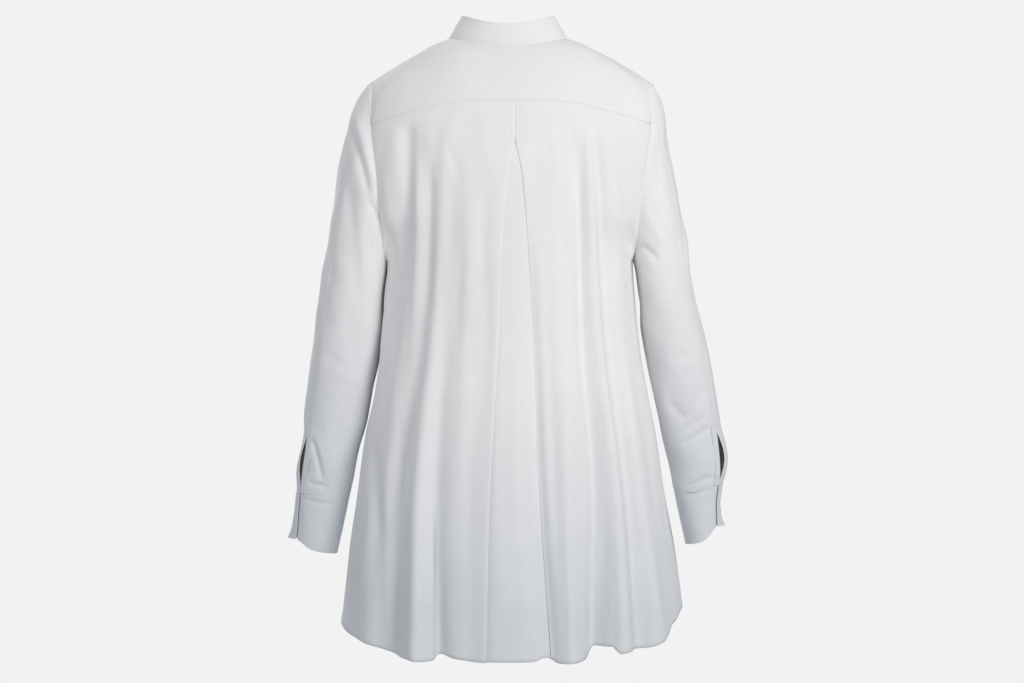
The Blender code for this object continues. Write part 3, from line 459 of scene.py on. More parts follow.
def sleevePoints(side, around, row):
    ring = ringBetween(sleeveRings, row)
    down = np.clip(row - slit["row"] + slit["start"], 0, 2)
    gape = slit["gap"] * eased(down / slit["openBy"]) * (1 - slit["closing"] * eased(down - 1))
    start = math.radians(slit["angle"][side])
    begin = start + gape * slit["backShare"] / ring.back
    turn = lerp(begin, start + 2 * math.pi - gape * (1 - slit["backShare"]) / ring.back, around)
    last = eased(1 - (1 - around) * 360 / slit["bulgeAngle"])
    bulge = slit["bulge"][side] * last * np.sin(np.pi * np.minimum(down / slit["bulgeEnd"], 1))
    p = ringPoint(ring, turn, side, bulge)
    p[..., 0] += side * sleeve["seamGap"] * np.maximum(1 - row, 0)
    return fitted(p, side, (1 + np.cos(turn)) / 2)

cuff = {"around": 150, "rows": 40, "tipAngle": 366.0, "tipWidth": 22.0, "flare": 0.008, "flarePower": 2.6}
cuff.update({"overlap": 0.0012, "overlapAngle": 40.0, "cornerRise": {1: 0.0115, -1: 0.0165}})
cuff.update({"backCorner": 34.0, "frontCorner": 120.0})

def cuffPoints(side, around, row):  # its two ends meet at the slit, the front end just over the back end
    ring = ringBetween(cuffRings, row)
    gape = slit["cuffGap"] / ring.back
    start = math.radians(slit["angle"][side])
    turn = lerp(start + gape / 2, start + 2 * math.pi - gape / 2, around)
    down = row / (len(cuffRings) - 1)
    tip = np.exp(-(((np.degrees(turn) - cuff["tipAngle"]) / cuff["tipWidth"]) ** 2))
    last = eased(1 - (1 - around) * 360 / cuff["overlapAngle"])
    out = cuff["flare"] * tip * down ** cuff["flarePower"] + cuff["overlap"] * last
    p = ringPoint(ring, turn, side, out)
    backCorner = np.exp(-((around * 360 / cuff["backCorner"]) ** 2))
    frontCorner = np.exp(-(((1 - around) * 360 / cuff["frontCorner"]) ** 4))
    corner = np.maximum(backCorner, frontCorner) * down**3
    p[..., 2] += cuff["cornerRise"][side] * corner
    return fitted(p, side, (1 + np.cos(turn)) / 2)

collar = {"topHalf": 0.0625, "topBack": 0.051, "topFront": 0.07, "height": 0.031, "gap": 0.0009}
collar.update({"columns": 300, "rows": 26})

def collarPoints(t, s):
    lap = front["collarLap"]
    angle = np.radians(lerp(-180.0 - lap, 180.0 + lap, t))
    low, c = neckPoint(angle), np.cos(angle)
    depth = np.where(c > 0, collar["topBack"], collar["topFront"])
    top = stacked(collar["topHalf"] * np.sin(angle) + neck["shift"], depth * c, low[...,
        2] + collar["height"])
    p = lerp(low, top, s[..., None])
    p[..., 2] += collar["gap"] * (1 - s)
    lapped = eased((np.degrees(np.abs(angle)) - 140) / 30)
    p[..., 1] += lapped * np.where(angle < 0, -0.0012, cloth["lap"] - 0.001)
    return p

# Small creases on top of the main folds, as lines on the plane that the back view shows.
Crease = namedtuple("Crease", "x z toX toZ bow width rise step", defaults=(0,))

def creased(points, normals, rows, share=1.0):
    x, z = points[..., 0], points[..., 2]
    rise = np.zeros_like(x)
    for row in rows:
        dx, dz = row.toX - row.x, row.toZ - row.z
        length = math.hypot(dx, dz)
        along = ((x - row.x) * dx + (z - row.z) * dz) / length**2
        inside = np.clip(along, 0, 1)
        off = ((x - row.x) * dz - (z - row.z) * dx) / length - row.bow * 4 * inside * (1 - inside)
        fade = eased(along / 0.3) * eased((1 - along) / 0.3)
        shape = lerp(1, np.tanh(off / (0.2 * row.width)), row.step)  # step 1 is a fold's edge
        rise = rise + row.rise * fade * shape * np.exp(-((off / row.width) ** 2))
    return points + normals * (rise * share)[..., None]

def rippled(points, normals, size, across, along, seed, share=1.0):  # slight unevenness of worn cloth
    at = points * np.array([1 / across, 1 / across, 1 / along]) + seed
    flat = at.reshape(-1, 3)
    ripple = np.array([noise.noise(Vector(p)) for p in flat]).reshape(points.shape[:2])
    return points + normals * (ripple * size * share)[..., None]

def normalsOf(points, turned):
    across = np.gradient(points, axis=1)
    down = np.gradient(points, axis=0)
    normals = np.cross(across, down) if turned else np.cross(down, across)
    return normals / np.maximum(np.linalg.norm(normals, axis=-1, keepdims=True), 1e-12)

edgeTurns = {  # each edge as the first row
    "top": lambda a: a,
    "bottom": lambda a: a[::-1],
    "first": lambda a: a.swapaxes(0, 1),
    "last": lambda a: a.swapaxes(0, 1)[::-1],
}
edgeReturns = {**edgeTurns, "last": lambda a: a[::-1].swapaxes(0, 1)}

def runDown(a):  # lengths along the cloth, from the first row down
    steps = np.linalg.norm(np.diff(a, axis=0), axis=-1)
    return np.concatenate([np.zeros((1, a.shape[1])), np.cumsum(steps, axis=0)])

def farFrom(points, edge):  # how far each grid point lies from one edge, along the cloth
    return edgeReturns[edge](runDown(edgeTurns[edge](points)))

relief = {"hem": 0.0004, "seam": 0.0002, "slope": 0.0015}
relief.update({"groove": 0.0003, "grooveHalf": 0.0009, "stitchAt": 0.82})

def seamRelief(points, normals, edge, width, rise):  # a turned edge, raised to its stitches
    far = farFrom(points, edge)
    step = rise * eased((width - far) / relief["slope"] + 0.5)
    dip = relief["groove"] * np.exp(-(((far - width * relief["stitchAt"]) / relief["grooveHalf"]) ** 2))
    return points + normals * (step - dip)[..., None]

def hexColour(text, alpha=1.0):  # an sRGB hex value as linear light
    parts = [int(text[i : i + 2], 16) / 255 for i in (1, 3, 5)]
    linear = [c / 12.92 if c <= 0.04045 else ((c + 0.055) / 1.055) ** 2.4 for c in parts]
    return (*linear, alpha)

def addNode(tree, kind, settings=None, links=None):
    node = tree.nodes.new(kind)
    for key, value in (settings or {}).items():
        if isinstance(key, int) or key in node.inputs:
            node.inputs[key].default_value = value
        else:
            setattr(node, key, value)
    for key, socket in (links or {}).items():
        tree.links.new(socket, node.inputs[key])
    return node

# The cloth's colour turns from a lit warm white at the top to a darker cool grey lower down. This is painted
# shade, standing in for the light falling off down the shirt and the sleeves.
cottonLook = {
    "paintedLitWarm": "#F4F3F4",
    "paintedShadeCool": "#DBDFE4",
    "bodyPaintedShade": (-0.46, -0.76),
    "sleevePaintedShade": (-0.3, -0.62),
    "threadMm": 0.9,
    "weaveDepth": 0.00009,
    "slubDepth": 0.0004,
    "slubLong": 0.03,
    "slubWide": 0.0012,
    "roughness": 0.88,
}

def cottonMaterial(name, fade):
    # Bleached plain-weave cotton, spun and woven matt: no gloss, a faint nap at grazing angles.
    material = bpy.data.materials.new(name)
    material.use_nodes = True
    tree = material.node_tree
    tree.nodes.clear()
    place = addNode(tree, "ShaderNodeTexCoord").outputs
    # A real thread is about 0.25 mm wide; it is drawn at 0.9 mm so that the weave shows.
    wave = {"wave_type": "BANDS", "Scale": 1 / (cottonLook["threadMm"] * 0.001) / 2 / 3.14, "Distortion": 0.6}
    # Slubs, the thicker stretches of single threads, about 30 mm long and 1.2 mm wide, both ways of the cloth.
    stretch = [1 / cottonLook["slubWide"], 1 / cottonLook["slubLong"]]
    threads, streaks = [], []
    for direction, scale in (("X", stretch), ("Y", stretch[::-1])):
        settings = {**wave, "bands_direction": direction}
        threads.append(addNode(tree, "ShaderNodeTexWave", settings, {"Vector": place["UV"]}).outputs["Fac"])
        turned = addNode(tree, "ShaderNodeMapping", {"Scale": (*scale, 1.0)}, {"Vector": place["UV"]})
        streak = {"Scale": 1.0, "Detail": 2.0}
        noisy = addNode(tree, "ShaderNodeTexNoise", streak, {"Vector": turned.outputs[0]})
        streaks.append(noisy.outputs["Fac"])
    weave = addNode(tree, "ShaderNodeMath", {"operation": "MULTIPLY"}, {0: threads[0], 1: threads[1]})
    slub = addNode(tree, "ShaderNodeMath", {"operation": "ADD"}, {0: streaks[0], 1: streaks[1]})
    depth = {"Strength": 0.5, "Distance": cottonLook["weaveDepth"]}
    bumpA = addNode(tree, "ShaderNodeBump", depth, {"Height": weave.outputs[0]})
    depth = {"Strength": 0.35, "Distance": cottonLook["slubDepth"]}
    heights = {"Height": slub.outputs[0], "Normal": bumpA.outputs["Normal"]}
    bumpB = addNode(tree, "ShaderNodeBump", depth, heights)
    # Painted shade: by height, between the two ends of fade, the colour turns from the lit top tone to the
    # darker cool shaded tone.
    parts = addNode(tree, "ShaderNodeSeparateXYZ", None, {0: place["Object"]})
    span = {"From Min": fade[0], "From Max": fade[1]}
    height = addNode(tree, "ShaderNodeMapRange", span, {"Value": parts.outputs["Z"]})
    colours = {"data_type": "RGBA", 6: hexColour(cottonLook["paintedLitWarm"]), 7: hexColour(cottonLook["paintedShadeCool"])}
    tone = addNode(tree, "ShaderNodeMix", colours, {0: height.outputs["Result"]})
    uneven = addNode(tree, "ShaderNodeTexNoise", {"Scale": 14.0, "Detail": 3.0}, {"Vector": place["Object"]})
    span = {"From Min": 0.3, "From Max": 0.7, "To Min": 0.975, "To Max": 1.0}
    shade = addNode(tree, "ShaderNodeMapRange", span, {"Value": uneven.outputs["Fac"]})
    span = {"From Min": 0.7, "From Max": 1.3, "To Min": 0.965, "To Max": 1.02}
    thread = addNode(tree, "ShaderNodeMapRange", span, {"Value": slub.outputs[0]})
    factors = {0: shade.outputs["Result"], 1: thread.outputs["Result"]}
    both = addNode(tree, "ShaderNodeMath", {"operation": "MULTIPLY"}, factors)
    scaled = {0: tone.outputs[2], "Scale": both.outputs[0]}
    colour = addNode(tree, "ShaderNodeVectorMath", {"operation": "SCALE"}, scaled)
    look = {"Roughness": cottonLook["roughness"], "Sheen Weight": 0.12, "Specular IOR Level": 0.25}
    links = {"Base Color": colour.outputs[0], "Normal": bumpB.outputs["Normal"]}
    surface = addNode(tree, "ShaderNodeBsdfPrincipled", look, links)
    addNode(tree, "ShaderNodeOutputMaterial", None, {"Surface": surface.outputs[0]})
    return material

def tonedMaterial(name, look, kind, settings, dark, light):  # one surface whose two tones follow a pattern
    material = bpy.data.materials.new(name)
    material.use_nodes = True
    tree = material.node_tree
    surface = tree.nodes["Principled BSDF"]
    for key, value in look.items():
        surface.inputs[key].default_value = value
    place = addNode(tree, "ShaderNodeTexCoord")
    pattern = addNode(tree, kind, settings, {"Vector": place.outputs["Object"]})
    colours = {"data_type": "RGBA", 6: hexColour(dark), 7: hexColour(light)}
    tone = addNode(tree, "ShaderNodeMix", colours, {0: pattern.outputs["Fac"]})
    tree.links.new(tone.outputs[2], surface.inputs["Base Color"])
    return material

# Spun polyester sewing thread: white, a little glossier than the cloth, twisted every 0.6 mm.
twist = {"bands_direction": "DIAGONAL", "Scale": 520.0}
# Cast polyester button, tumbled to a soft gloss, with the faint cloud of imitation shell.
gloss = {"Roughness": 0.24, "Coat Weight": 0.3}
cloud = {"Scale": 170.0, "Detail": 3.0, "Distortion": 1.2}
materials = {
    # Each cotton gets its painted shade over its own span of height: the body lower down, the sleeves higher
    # up.
    "cotton": cottonMaterial("bleached cotton plain weave, shade painted lower down", cottonLook["bodyPaintedShade"]),
    "sleeveCotton": cottonMaterial("bleached cotton plain weave, sleeves", cottonLook["sleevePaintedShade"]),
    "thread": tonedMaterial(
        "spun polyester thread", {"Roughness": 0.55}, "ShaderNodeTexWave", twist, "#D8D6D2", "#ECEAE6"
    ),
    "button": tonedMaterial("cast polyester button", gloss, "ShaderNodeTexNoise", cloud, "#DCD9D2",
        "#F1EFEA"),
}

def dressed(obj, material, replaced=None):
    obj.data.materials.clear()
    obj.data.materials.append(materials[material])
    bpy.context.scene.collection.objects.link(obj)
    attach(obj, "root")
    if replaced:
        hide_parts(replaced)
    return obj

grids = {}
tuck = {"reach": 0.006, "sink": 0.0009, "rows": (1.0, 0.6, 0.25)}

def tucked(points, normals, edge):  # the seam allowance, under the next piece
    a = edgeTurns[edge](points)
    inward = edgeTurns[edge](normals)[0] * tuck["sink"]
    run = a[0] - a[2]
    run = run / np.maximum(np.linalg.norm(run, axis=-1, keepdims=True), 1e-9) * tuck["reach"]
    return edgeReturns[edge](np.concatenate([[a[0] + run * k - inward for k in tuck["rows"]], a]))

def clothPiece(name, points, turned, replaced, wall=None, joinedRows=0, tucks=(), facing=None):
    grids[name] = (points, normalsOf(points, turned))
    for edge in tucks:
        points = tucked(points, facing(points) if facing else normalsOf(points, turned), edge)
        joinedRows += len(tuck["rows"]) if edge == "top" and joinedRows else 0
    rows, columns = points.shape[0] - 1, points.shape[1] - 1
    bm = bmesh.new()
    uvLayer = bm.loops.layers.uv.new("weave")
    bmesh.ops.create_grid(bm, x_segments=columns, y_segments=rows, size=0.5)
    across = runDown(points.swapaxes(0, 1))[:, rows // 2]
    down = runDown(points)[:, columns // 3]
    seam = []
    for v in bm.verts:
        column, row = round((v.co.x + 0.5) * columns), round((0.5 - v.co.y) * rows)
        v.co = points[row, column]
        for loop in v.link_loops:
            loop[uvLayer].uv = (across[column], down[row])
        if row < joinedRows and column in (0, columns):
            seam.append(v)
    if seam:
        bmesh.ops.remove_doubles(bm, verts=seam, dist=0.00002)
    if turned:
        bmesh.ops.reverse_faces(bm, faces=bm.faces[:])
    mesh = bpy.data.meshes.new(name)
    print(name, "laid, %.4f m2" % sum(f.calc_area() for f in bm.faces))
    bm.to_mesh(mesh)
    bm.free()
    mesh.shade_smooth()
    obj = bpy.data.objects.new(name, mesh)
    shell = obj.modifiers.new("cloth", "SOLIDIFY")
    shell.thickness = wall or cloth["wall"]
    shell.offset = -1
    onArm = replaced.startswith(("sleeve", "slit", "cuff"))
    dressed(obj, "sleeveCotton" if onArm else "cotton", replaced)

def spread(count, tight=0.6):  # shares from 0 to 1 that lie closer together at both ends
    t = np.linspace(0, 1, count)
    return t - tight * np.sin(2 * np.pi * t) / (2 * np.pi)

backCreases = [
    Crease(0.099, -0.6, 0.099, -0.9, 0.0, 0.012, 0.003, 1),
    Crease(-0.1352, -0.64, -0.137, -0.9, 0.0, 0.01, 0.0016, 1),
    Crease(-0.1222, -0.59, -0.115, -0.85, 0.002, 0.007, -0.0026),
    Crease(0.087, -0.14, 0.064, -0.205, 0.001, 0.006, -0.0009),
    Crease(0.066, -0.27, 0.072, -0.43, 0.001, 0.0065, -0.001),
    Crease(0.124, -0.15, 0.129, -0.4, 0.003, 0.006, 0.0022),
    Crease(0.136, -0.07, 0.143, -0.33, 0.002, 0.011, -0.006),
    Crease(0.144, -0.22, 0.155, -0.46, 0.003, 0.006, -0.0016),
    Crease(0.17, -0.14, 0.172, -0.5, 0.004, 0.01, 0.004),
    Crease(0.106, -0.15, 0.11, -0.4, 0.002, 0.006, -0.0022),
    Crease(-0.0468, -0.11, -0.051, -0.23, 0.001, 0.006, -0.0009),
    Crease(-0.073, -0.18, -0.085, -0.45, 0.001, 0.0065, 0.0016),
    Crease(-0.088, -0.12, -0.096, -0.43, 0.001, 0.0065, -0.0024),
    Crease(-0.108, -0.105, -0.123, -0.38, 0.002, 0.006, -0.002),
    Crease(-0.1209, -0.32, -0.17, -0.74, 0.002, 0.006, -0.002),
    Crease(-0.1391, -0.13, -0.162, -0.32, 0.002, 0.006, -0.0018),
    Crease(0.149, -0.44, 0.143, -0.7, 0.002, 0.0024, -0.0007),
    Crease(0.1547, -0.7, 0.1547, -0.82, 0.001, 0.0065, -0.0034),
    Crease(0.19, -0.5, 0.169, -0.7, 0.002, 0.008, -0.0026),
    Crease(-0.1638, -0.65, -0.1655, -0.78, 0.001, 0.0034, 0.0012),
    Crease(0.03, -0.3, 0.042, -0.56, 0.003, 0.009, -0.0012),
    Crease(-0.048, -0.42, -0.056, -0.7, 0.002, 0.008, -0.0014),
]
frontCreases = {
    1: [
        Crease(0.142, -0.165, 0.092, -0.232, 0.004, 0.008, -0.002),
        Crease(0.15, -0.225, 0.112, -0.272, 0.003, 0.0065, -0.0016),
        Crease(0.062, -0.33, 0.07, -0.56, 0.002, 0.008, -0.0016),
        Crease(0.128, -0.35, 0.15, -0.64, 0.004, 0.009, -0.0024),
        Crease(0.04, -0.6, 0.046, -0.86, 0.002, 0.009, -0.002),
    ],
    -1: [
        Crease(-0.14, -0.15, -0.098, -0.222, 0.004, 0.008, -0.0018),
        Crease(-0.152, -0.235, -0.105, -0.29, 0.003, 0.007, -0.0018),
        Crease(-0.07, -0.38, -0.074, -0.59, 0.002, 0.0075, -0.0018),
        Crease(-0.134, -0.32, -0.158, -0.58, 0.003, 0.0085, -0.0022),
        Crease(-0.118, -0.6, -0.124, -0.86, 0.002, 0.009, -0.0022),
    ],
}
sleeveBackCreases = {
    1: [
        Crease(0.214, -0.085, 0.1773, -0.238, 0.004, 0.0075, 0.003),
        Crease(0.22, -0.11, 0.185, -0.228, 0.003, 0.006, -0.0032),
        Crease(0.19, -0.222, 0.168, -0.25, 0.0, 0.004, -0.003),
        Crease(0.2245, -0.17, 0.2045, -0.385, 0.006, 0.01, -0.003),
        Crease(0.25, -0.425, 0.213, -0.449, 0.002, 0.005, -0.0013),
        Crease(0.245, -0.462, 0.21, -0.47, 0.002, 0.0045, -0.0011),
        Crease(0.271, -0.53, 0.252, -0.602, 0.002, 0.0036, -0.0034),
        Crease(0.276, -0.598, 0.242, -0.605, 0.001, 0.0036, -0.0026),
    ],
    -1: [
        Crease(-0.169, -0.278, -0.198, -0.306, 0.002, 0.005, -0.0032),
        Crease(-0.174, -0.235, -0.205, -0.29, 0.003, 0.007, 0.002),
        Crease(-0.201, -0.11, -0.186, -0.24, 0.002, 0.008, -0.002),
        Crease(-0.206, -0.484, -0.238, -0.518, 0.0, 0.005, -0.002),
        Crease(-0.234, -0.52, -0.258, -0.466, 0.0, 0.0045, -0.0019),
        Crease(-0.225, -0.552, -0.274, -0.52, 0.002, 0.004, -0.003),
        Crease(-0.212, -0.54, -0.268, -0.506, 0.003, 0.0045, -0.002),
        Crease(-0.208, -0.434, -0.25, -0.426, 0.002, 0.005, -0.0018),
        Crease(-0.23, -0.607, -0.278, -0.588, 0.002, 0.0036, -0.0024),
    ],
}
sleeveFrontCreases = {
    1: [
        Crease(0.208, -0.105, 0.176, -0.225, 0.004, 0.008, -0.0028),
        Crease(0.228, -0.3, 0.186, -0.36, 0.004, 0.008, -0.0022),
        Crease(0.248, -0.43, 0.204, -0.458, 0.003, 0.006, -0.0018),
        Crease(0.256, -0.52, 0.22, -0.538, 0.002, 0.005, -0.0015),
    ],
    -1: [
        Crease(-0.2, -0.125, -0.178, -0.235, 0.004, 0.008, -0.0026),
        Crease(-0.224, -0.33, -0.186, -0.378, 0.004, 0.008, -0.002),
        Crease(-0.252, -0.452, -0.206, -0.474, 0.003, 0.006, -0.0018),
    ],
}
cuffCreases = {
    1: [Crease(0.28, -0.622, 0.234, -0.629, 0.001, 0.0036, -0.0016)],
    -1: [Crease(-0.226, -0.618, -0.278, -0.606, 0.001, 0.0036, -0.0014)],
}

def makeYoke():
    t = np.linspace(-1, 1, yoke["columns"])[None, :]
    s = spread(yoke["rows"])[:, None]
    t, s = np.broadcast_arrays(t, s)
    points = yokePoints(t, s)
    normals = normalsOf(points, True)
    points = rippled(points, normals, 0.0012, 0.05, 0.03, 3.1, np.sin(np.pi * s))
    points = seamRelief(points, normals, "bottom", 0.003, relief["seam"])
    clothPiece("yokeCloth", points, True, "yoke", cloth["twoLayers"])

def backFacing(points):  # the same way for the outer and the hidden layers of the pleat
    return outward(points[..., 0], points[..., 2])

def makeBack():
    points = backPoints()
    normals = backFacing(points)
    far = np.minimum(farFrom(points, "top"), farFrom(points, "bottom"))
    points = rippled(points, normals, 0.0016, 0.02, 0.16, 1.7, eased(far / 0.05))
    points = creased(points, normals, backCreases, eased(farFrom(points, "top") / back["seamFlat"]))
    points = leaned(seamRelief(points, normals, "bottom", hem["fold"], relief["hem"]))
    clothPiece("backCloth", points, True, "back", tucks=["top", "first", "last"], facing=backFacing)

def makeFronts():
    c = np.linspace(0, 1, front["fine"])[None, :]
    above = np.linspace(0, 1, front["above"], endpoint=False)
    v = np.concatenate([above, 1 + np.linspace(0, 1, front["below"])])[:, None]
    for side, word in sides:
        points = frontPoints(c, v, side, cloth["lap"] if side < 0 else 0.0)
        turned = side < 0
        normals = normalsOf(points, turned)
        far = np.minimum(farFrom(points, "top"), farFrom(points, "bottom"))
        clear = eased(far / 0.05) * eased((farFrom(points, "first") - 0.03) / 0.03)
        points = rippled(points, normals, 0.002, 0.024, 0.18, 5.3 + side, clear)
        points = creased(points, normals, frontCreases[side], clear)
        points = leaned(seamRelief(points, normals, "bottom", hem["fold"], relief["hem"]))
        clothPiece("front" + word + "Cloth", points, turned, "front_" + word.lower(), tucks=["top"])

band = {"width": 0.029, "startRow": 0.25, "rowsAbove": 10, "columns": 24, "rows": 190, "wall": 0.0011}

def bandPoints(share, v):  # on the right front, moved straight out of it
    reach = halfWidth(np.float64(underarm["z"])) + front["lap"]
    c = np.arcsin(share * band["width"] / reach) / (np.pi / 2)
    p = frontPoints(c, v, -1, cloth["lap"])
    step = 0.001
    down = frontPoints(c, v + step, -1, cloth["lap"]) - p
    sideways = frontPoints(c + step, v, -1, cloth["lap"]) - p
    normal = np.cross(sideways, down)
    normal = normal / np.linalg.norm(normal, axis=-1, keepdims=True)
    return p + normal * (cloth["solidWall"] + cloth["gap"] * 2)

def makeFrontBand():
    share = spread(band["columns"])[None, :]
    v = np.linspace(band["startRow"] / band["rowsAbove"], 2, band["rows"])[:, None]
    points = bandPoints(share, v)
    clothPiece("frontBandCloth", points, True, "front_band", band["wall"])

def makeCollar():
    t = spread(collar["columns"], 0.3)[None, :]
    s = spread(collar["rows"])[::-1][:, None]
    t, s = np.broadcast_arrays(t, s)
    points = collarPoints(t, s)
    normals = normalsOf(points, True)
    points = rippled(points, normals, 0.0009, 0.03, 0.02, 8.2, np.sin(np.pi * s))
    clothPiece("collarCloth", points, True, "collar", cloth["twoLayers"], tucks=["bottom"])

def makeSleeves():
    around = np.linspace(0, 1, sleeve["around"])[None, :]
    upper = np.linspace(0, slit["row"], sleeve["upRows"], endpoint=False)
    row = np.concatenate([upper, np.linspace(slit["row"], len(sleeveRings) - 1, sleeve["slitRows"])])
    for side, word in sides:
        points = sleevePoints(side, around, row[:, None])
        turned = side < 0
        normals = normalsOf(points, turned)
        far = np.minimum(farFrom(points, "top"), farFrom(points, "bottom"))
        joinFade = eased(np.minimum(around, 1 - around) / 0.03)
        points = rippled(points, normals, 0.003, 0.03, 0.05, 11.9 + side, eased(far / 0.04) * joinFade)
        points = creased(points, normals, sleeveBackCreases[side], eased(points[..., 1] / 0.02 + 1))
        points = creased(points, normals, sleeveFrontCreases[side], eased(-points[..., 1] / 0.02))
        joint = (points[: sleeve["upRows"], 0] + points[: sleeve["upRows"], -1]) / 2
        points[: sleeve["upRows"], 0] = points[: sleeve["upRows"], -1] = joint
        node = "sleeve_" + word.lower()
        clothPiece("sleeve" + word + "Cloth", points, turned, node, None, sleeve["upRows"], ["top", "bottom"])

def makeCuffs():
    around = spread(cuff["around"], 0.5)[None, :]
    row = (spread(cuff["rows"]) * 3)[:, None]
    for side, word in sides:
        points = cuffPoints(side, around, row)
        turned = side < 0
        normals = normalsOf(points, turned)
        points = rippled(points, normals, 0.0009, 0.02, 0.03, 21.3 + side, np.sin(np.pi * row / 3))
        points = creased(points, normals, cuffCreases[side], eased(points[..., 1] / 0.02 + 1))
        clothPiece("cuff" + word + "Cloth", points, turned, "cuff_" + word.lower(), cloth["twoLayers"])

def makeSlitBands():
    for side, word in sides:
        turn = slit["bandWidth"] / sleeveRings[slit["row"]].back / (2 * math.pi)
        around = (spread(10) * turn)[None, :]
        row = np.linspace(slit["row"] - slit["bandStart"], len(sleeveRings) - 1, sleeve["slitRows"])[:, None]
        points = sleevePoints(side, around, row)
        normals = normalsOf(points, side < 0)
        points = points + normals * (cloth["twoLayers"] + cloth["gap"] / 2)
        node = "slit_band_" + word.lower()
        clothPiece("slitBand" + word + "Cloth", points, side < 0, node, cloth["twoLayers"])

makeYoke()
makeBack()
makeFronts()
makeFrontBand()
makeCollar()
makeSleeves()
makeCuffs()
makeSlitBands()
print("cloth pieces made")

stitching = {"pitch": 0.003, "length": 0.0022, "thread": 0.00022, "lift": 0.00012}

def stitchTree():
    tree = bpy.data.node_groups.new("runningStitch", "GeometryNodeTree")
    tree.interface.new_socket("Geometry", in_out="INPUT", socket_type="NodeSocketGeometry")
    for name in ("Pitch", "Stitch length", "Thread radius"):
        tree.interface.new_socket(name, in_out="INPUT", socket_type="NodeSocketFloat")
    tree.interface.new_socket("Geometry", in_out="OUTPUT", socket_type="NodeSocketGeometry")
    given = addNode(tree, "NodeGroupInput").outputs
    along = {"Curve": given["Geometry"], "Length": given["Pitch"]}
    spaced = addNode(tree, "GeometryNodeResampleCurve", {"mode": "LENGTH"}, along)
    tangent = addNode(tree, "GeometryNodeInputTangent")
    turn = addNode(tree, "FunctionNodeAlignRotationToVector", {"axis": "X"}, {"Vector": tangent.outputs[0]})
    bead = addNode(tree, "GeometryNodeMeshUVSphere", {"Segments": 6, "Rings": 4, "Radius": 1.0})
    half = addNode(tree, "ShaderNodeMath", {"operation": "MULTIPLY", 1: 0.5}, {0: given["Stitch length"]})
    shape = {"X": half.outputs[0], "Y": given["Thread radius"], "Z": given["Thread radius"]}
    size = addNode(tree, "ShaderNodeCombineXYZ", None, shape)
    beads = {"Points": spaced.outputs[0], "Instance": bead.outputs["Mesh"], "Rotation": turn.outputs[0]}
    laid = addNode(tree, "GeometryNodeInstanceOnPoints", None, {**beads, "Scale": size.outputs[0]})
    real = addNode(tree, "GeometryNodeRealizeInstances", None, {0: laid.outputs[0]})
    finish = addNode(tree, "GeometryNodeSetMaterial", None, {0: real.outputs[0]})
    finish.inputs["Material"].default_value = materials["thread"]
    addNode(tree, "NodeGroupOutput", None, {0: finish.outputs[0]})
    return tree

stitchNodes = stitchTree()

def stitchPath(name, edge, inset, start, end):  # a line along an edge, inset from it
    points, normals = grids[name]
    a, n = edgeTurns[edge](points), edgeTurns[edge](normals)
    far = runDown(a)
    path = []
    last = a.shape[1] - 1
    for k in range(round(start * last), round(end * last) + 1):
        at, out = (np.array([np.interp(inset, far[:, k], b[:, k, i]) for i in range(3)]) for b in (a, n))
        path.append(at + out * stitching["lift"])
    return path

def threadPiece(name, paths, shaped):  # thread along the paths, made a plain mesh
    data = bpy.data.curves.new(name, "CURVE")
    data.dimensions = "3D"
    for path in paths:
        spline = data.splines.new("POLY")
        spline.points.add(len(path) - 1)
        spline.points.foreach_set("co", [n for p in path for n in (*p, 1.0)])
    guide = bpy.data.objects.new(name + "Guide", data)
    bpy.context.scene.collection.objects.link(guide)
    shaped(guide)
    graph = bpy.context.evaluated_depsgraph_get()
    mesh = bpy.data.meshes.new_from_object(guide.evaluated_get(graph))
    mesh.name = name
    bpy.data.objects.remove(guide, do_unlink=True)
    mesh.shade_smooth()
    return dressed(bpy.data.objects.new(name, mesh), "thread")

def stitched(guide):
    sewn = guide.modifiers.new("stitches", "NODES")
    sewn.node_group = stitchNodes
    values = {"Pitch": "pitch", "Stitch length": "length", "Thread radius": "thread"}
    for item in stitchNodes.interface.items_tree:
        if item.in_out == "INPUT" and item.name in values:
            sewn[item.identifier] = stitching[values[item.name]]

Sewing = namedtuple("Sewing", "sheet stitches edges inset start end", defaults=(0.0, 1.0))
sewing = [
    Sewing("yokeCloth", "yokeStitches", ["bottom"], 0.0025, 0.155, 0.845),
    Sewing("backCloth", "backHemStitches", ["bottom"], 0.0053),
]
for side, word in sides:
    sewing += [
        Sewing("front" + word + "Cloth", "front" + word + "HemStitches", ["bottom"], 0.0053),
        Sewing("cuff" + word + "Cloth", "cuff" + word + "Stitches", ["top", "bottom", "first", "last"],
            0.0045),
        Sewing("slitBand" + word + "Cloth", "slitBand" + word + "Stitches", ["first", "last"], 0.0015),
    ]
sewing += [
    Sewing("frontBandCloth", "frontBandStitches", ["first", "last"], 0.0045),
    Sewing("collarCloth", "collarStitches", ["top", "bottom"], 0.0025),
]
for row in sewing:
    paths = [stitchPath(row.sheet, edge, row.inset, row.start, row.end) for edge in row.edges]
    threadPiece(row.stitches, paths, stitched)
print("seams stitched")

button = {"radius": 0.0057, "thick": 0.0024, "rim": 0.0011, "hole": 0.00075, "holeOut": 0.0014}
button.update({"thread": 0.00035})
button.update({"cuffColumns": 12, "cuffHeight": 0.5, "clear": 0.0002})
button.update({"faceAt": 0.45, "sides": 36, "holeSides": 8})
button.update({"threadRise": 0.0006, "threadDip": 0.0004})

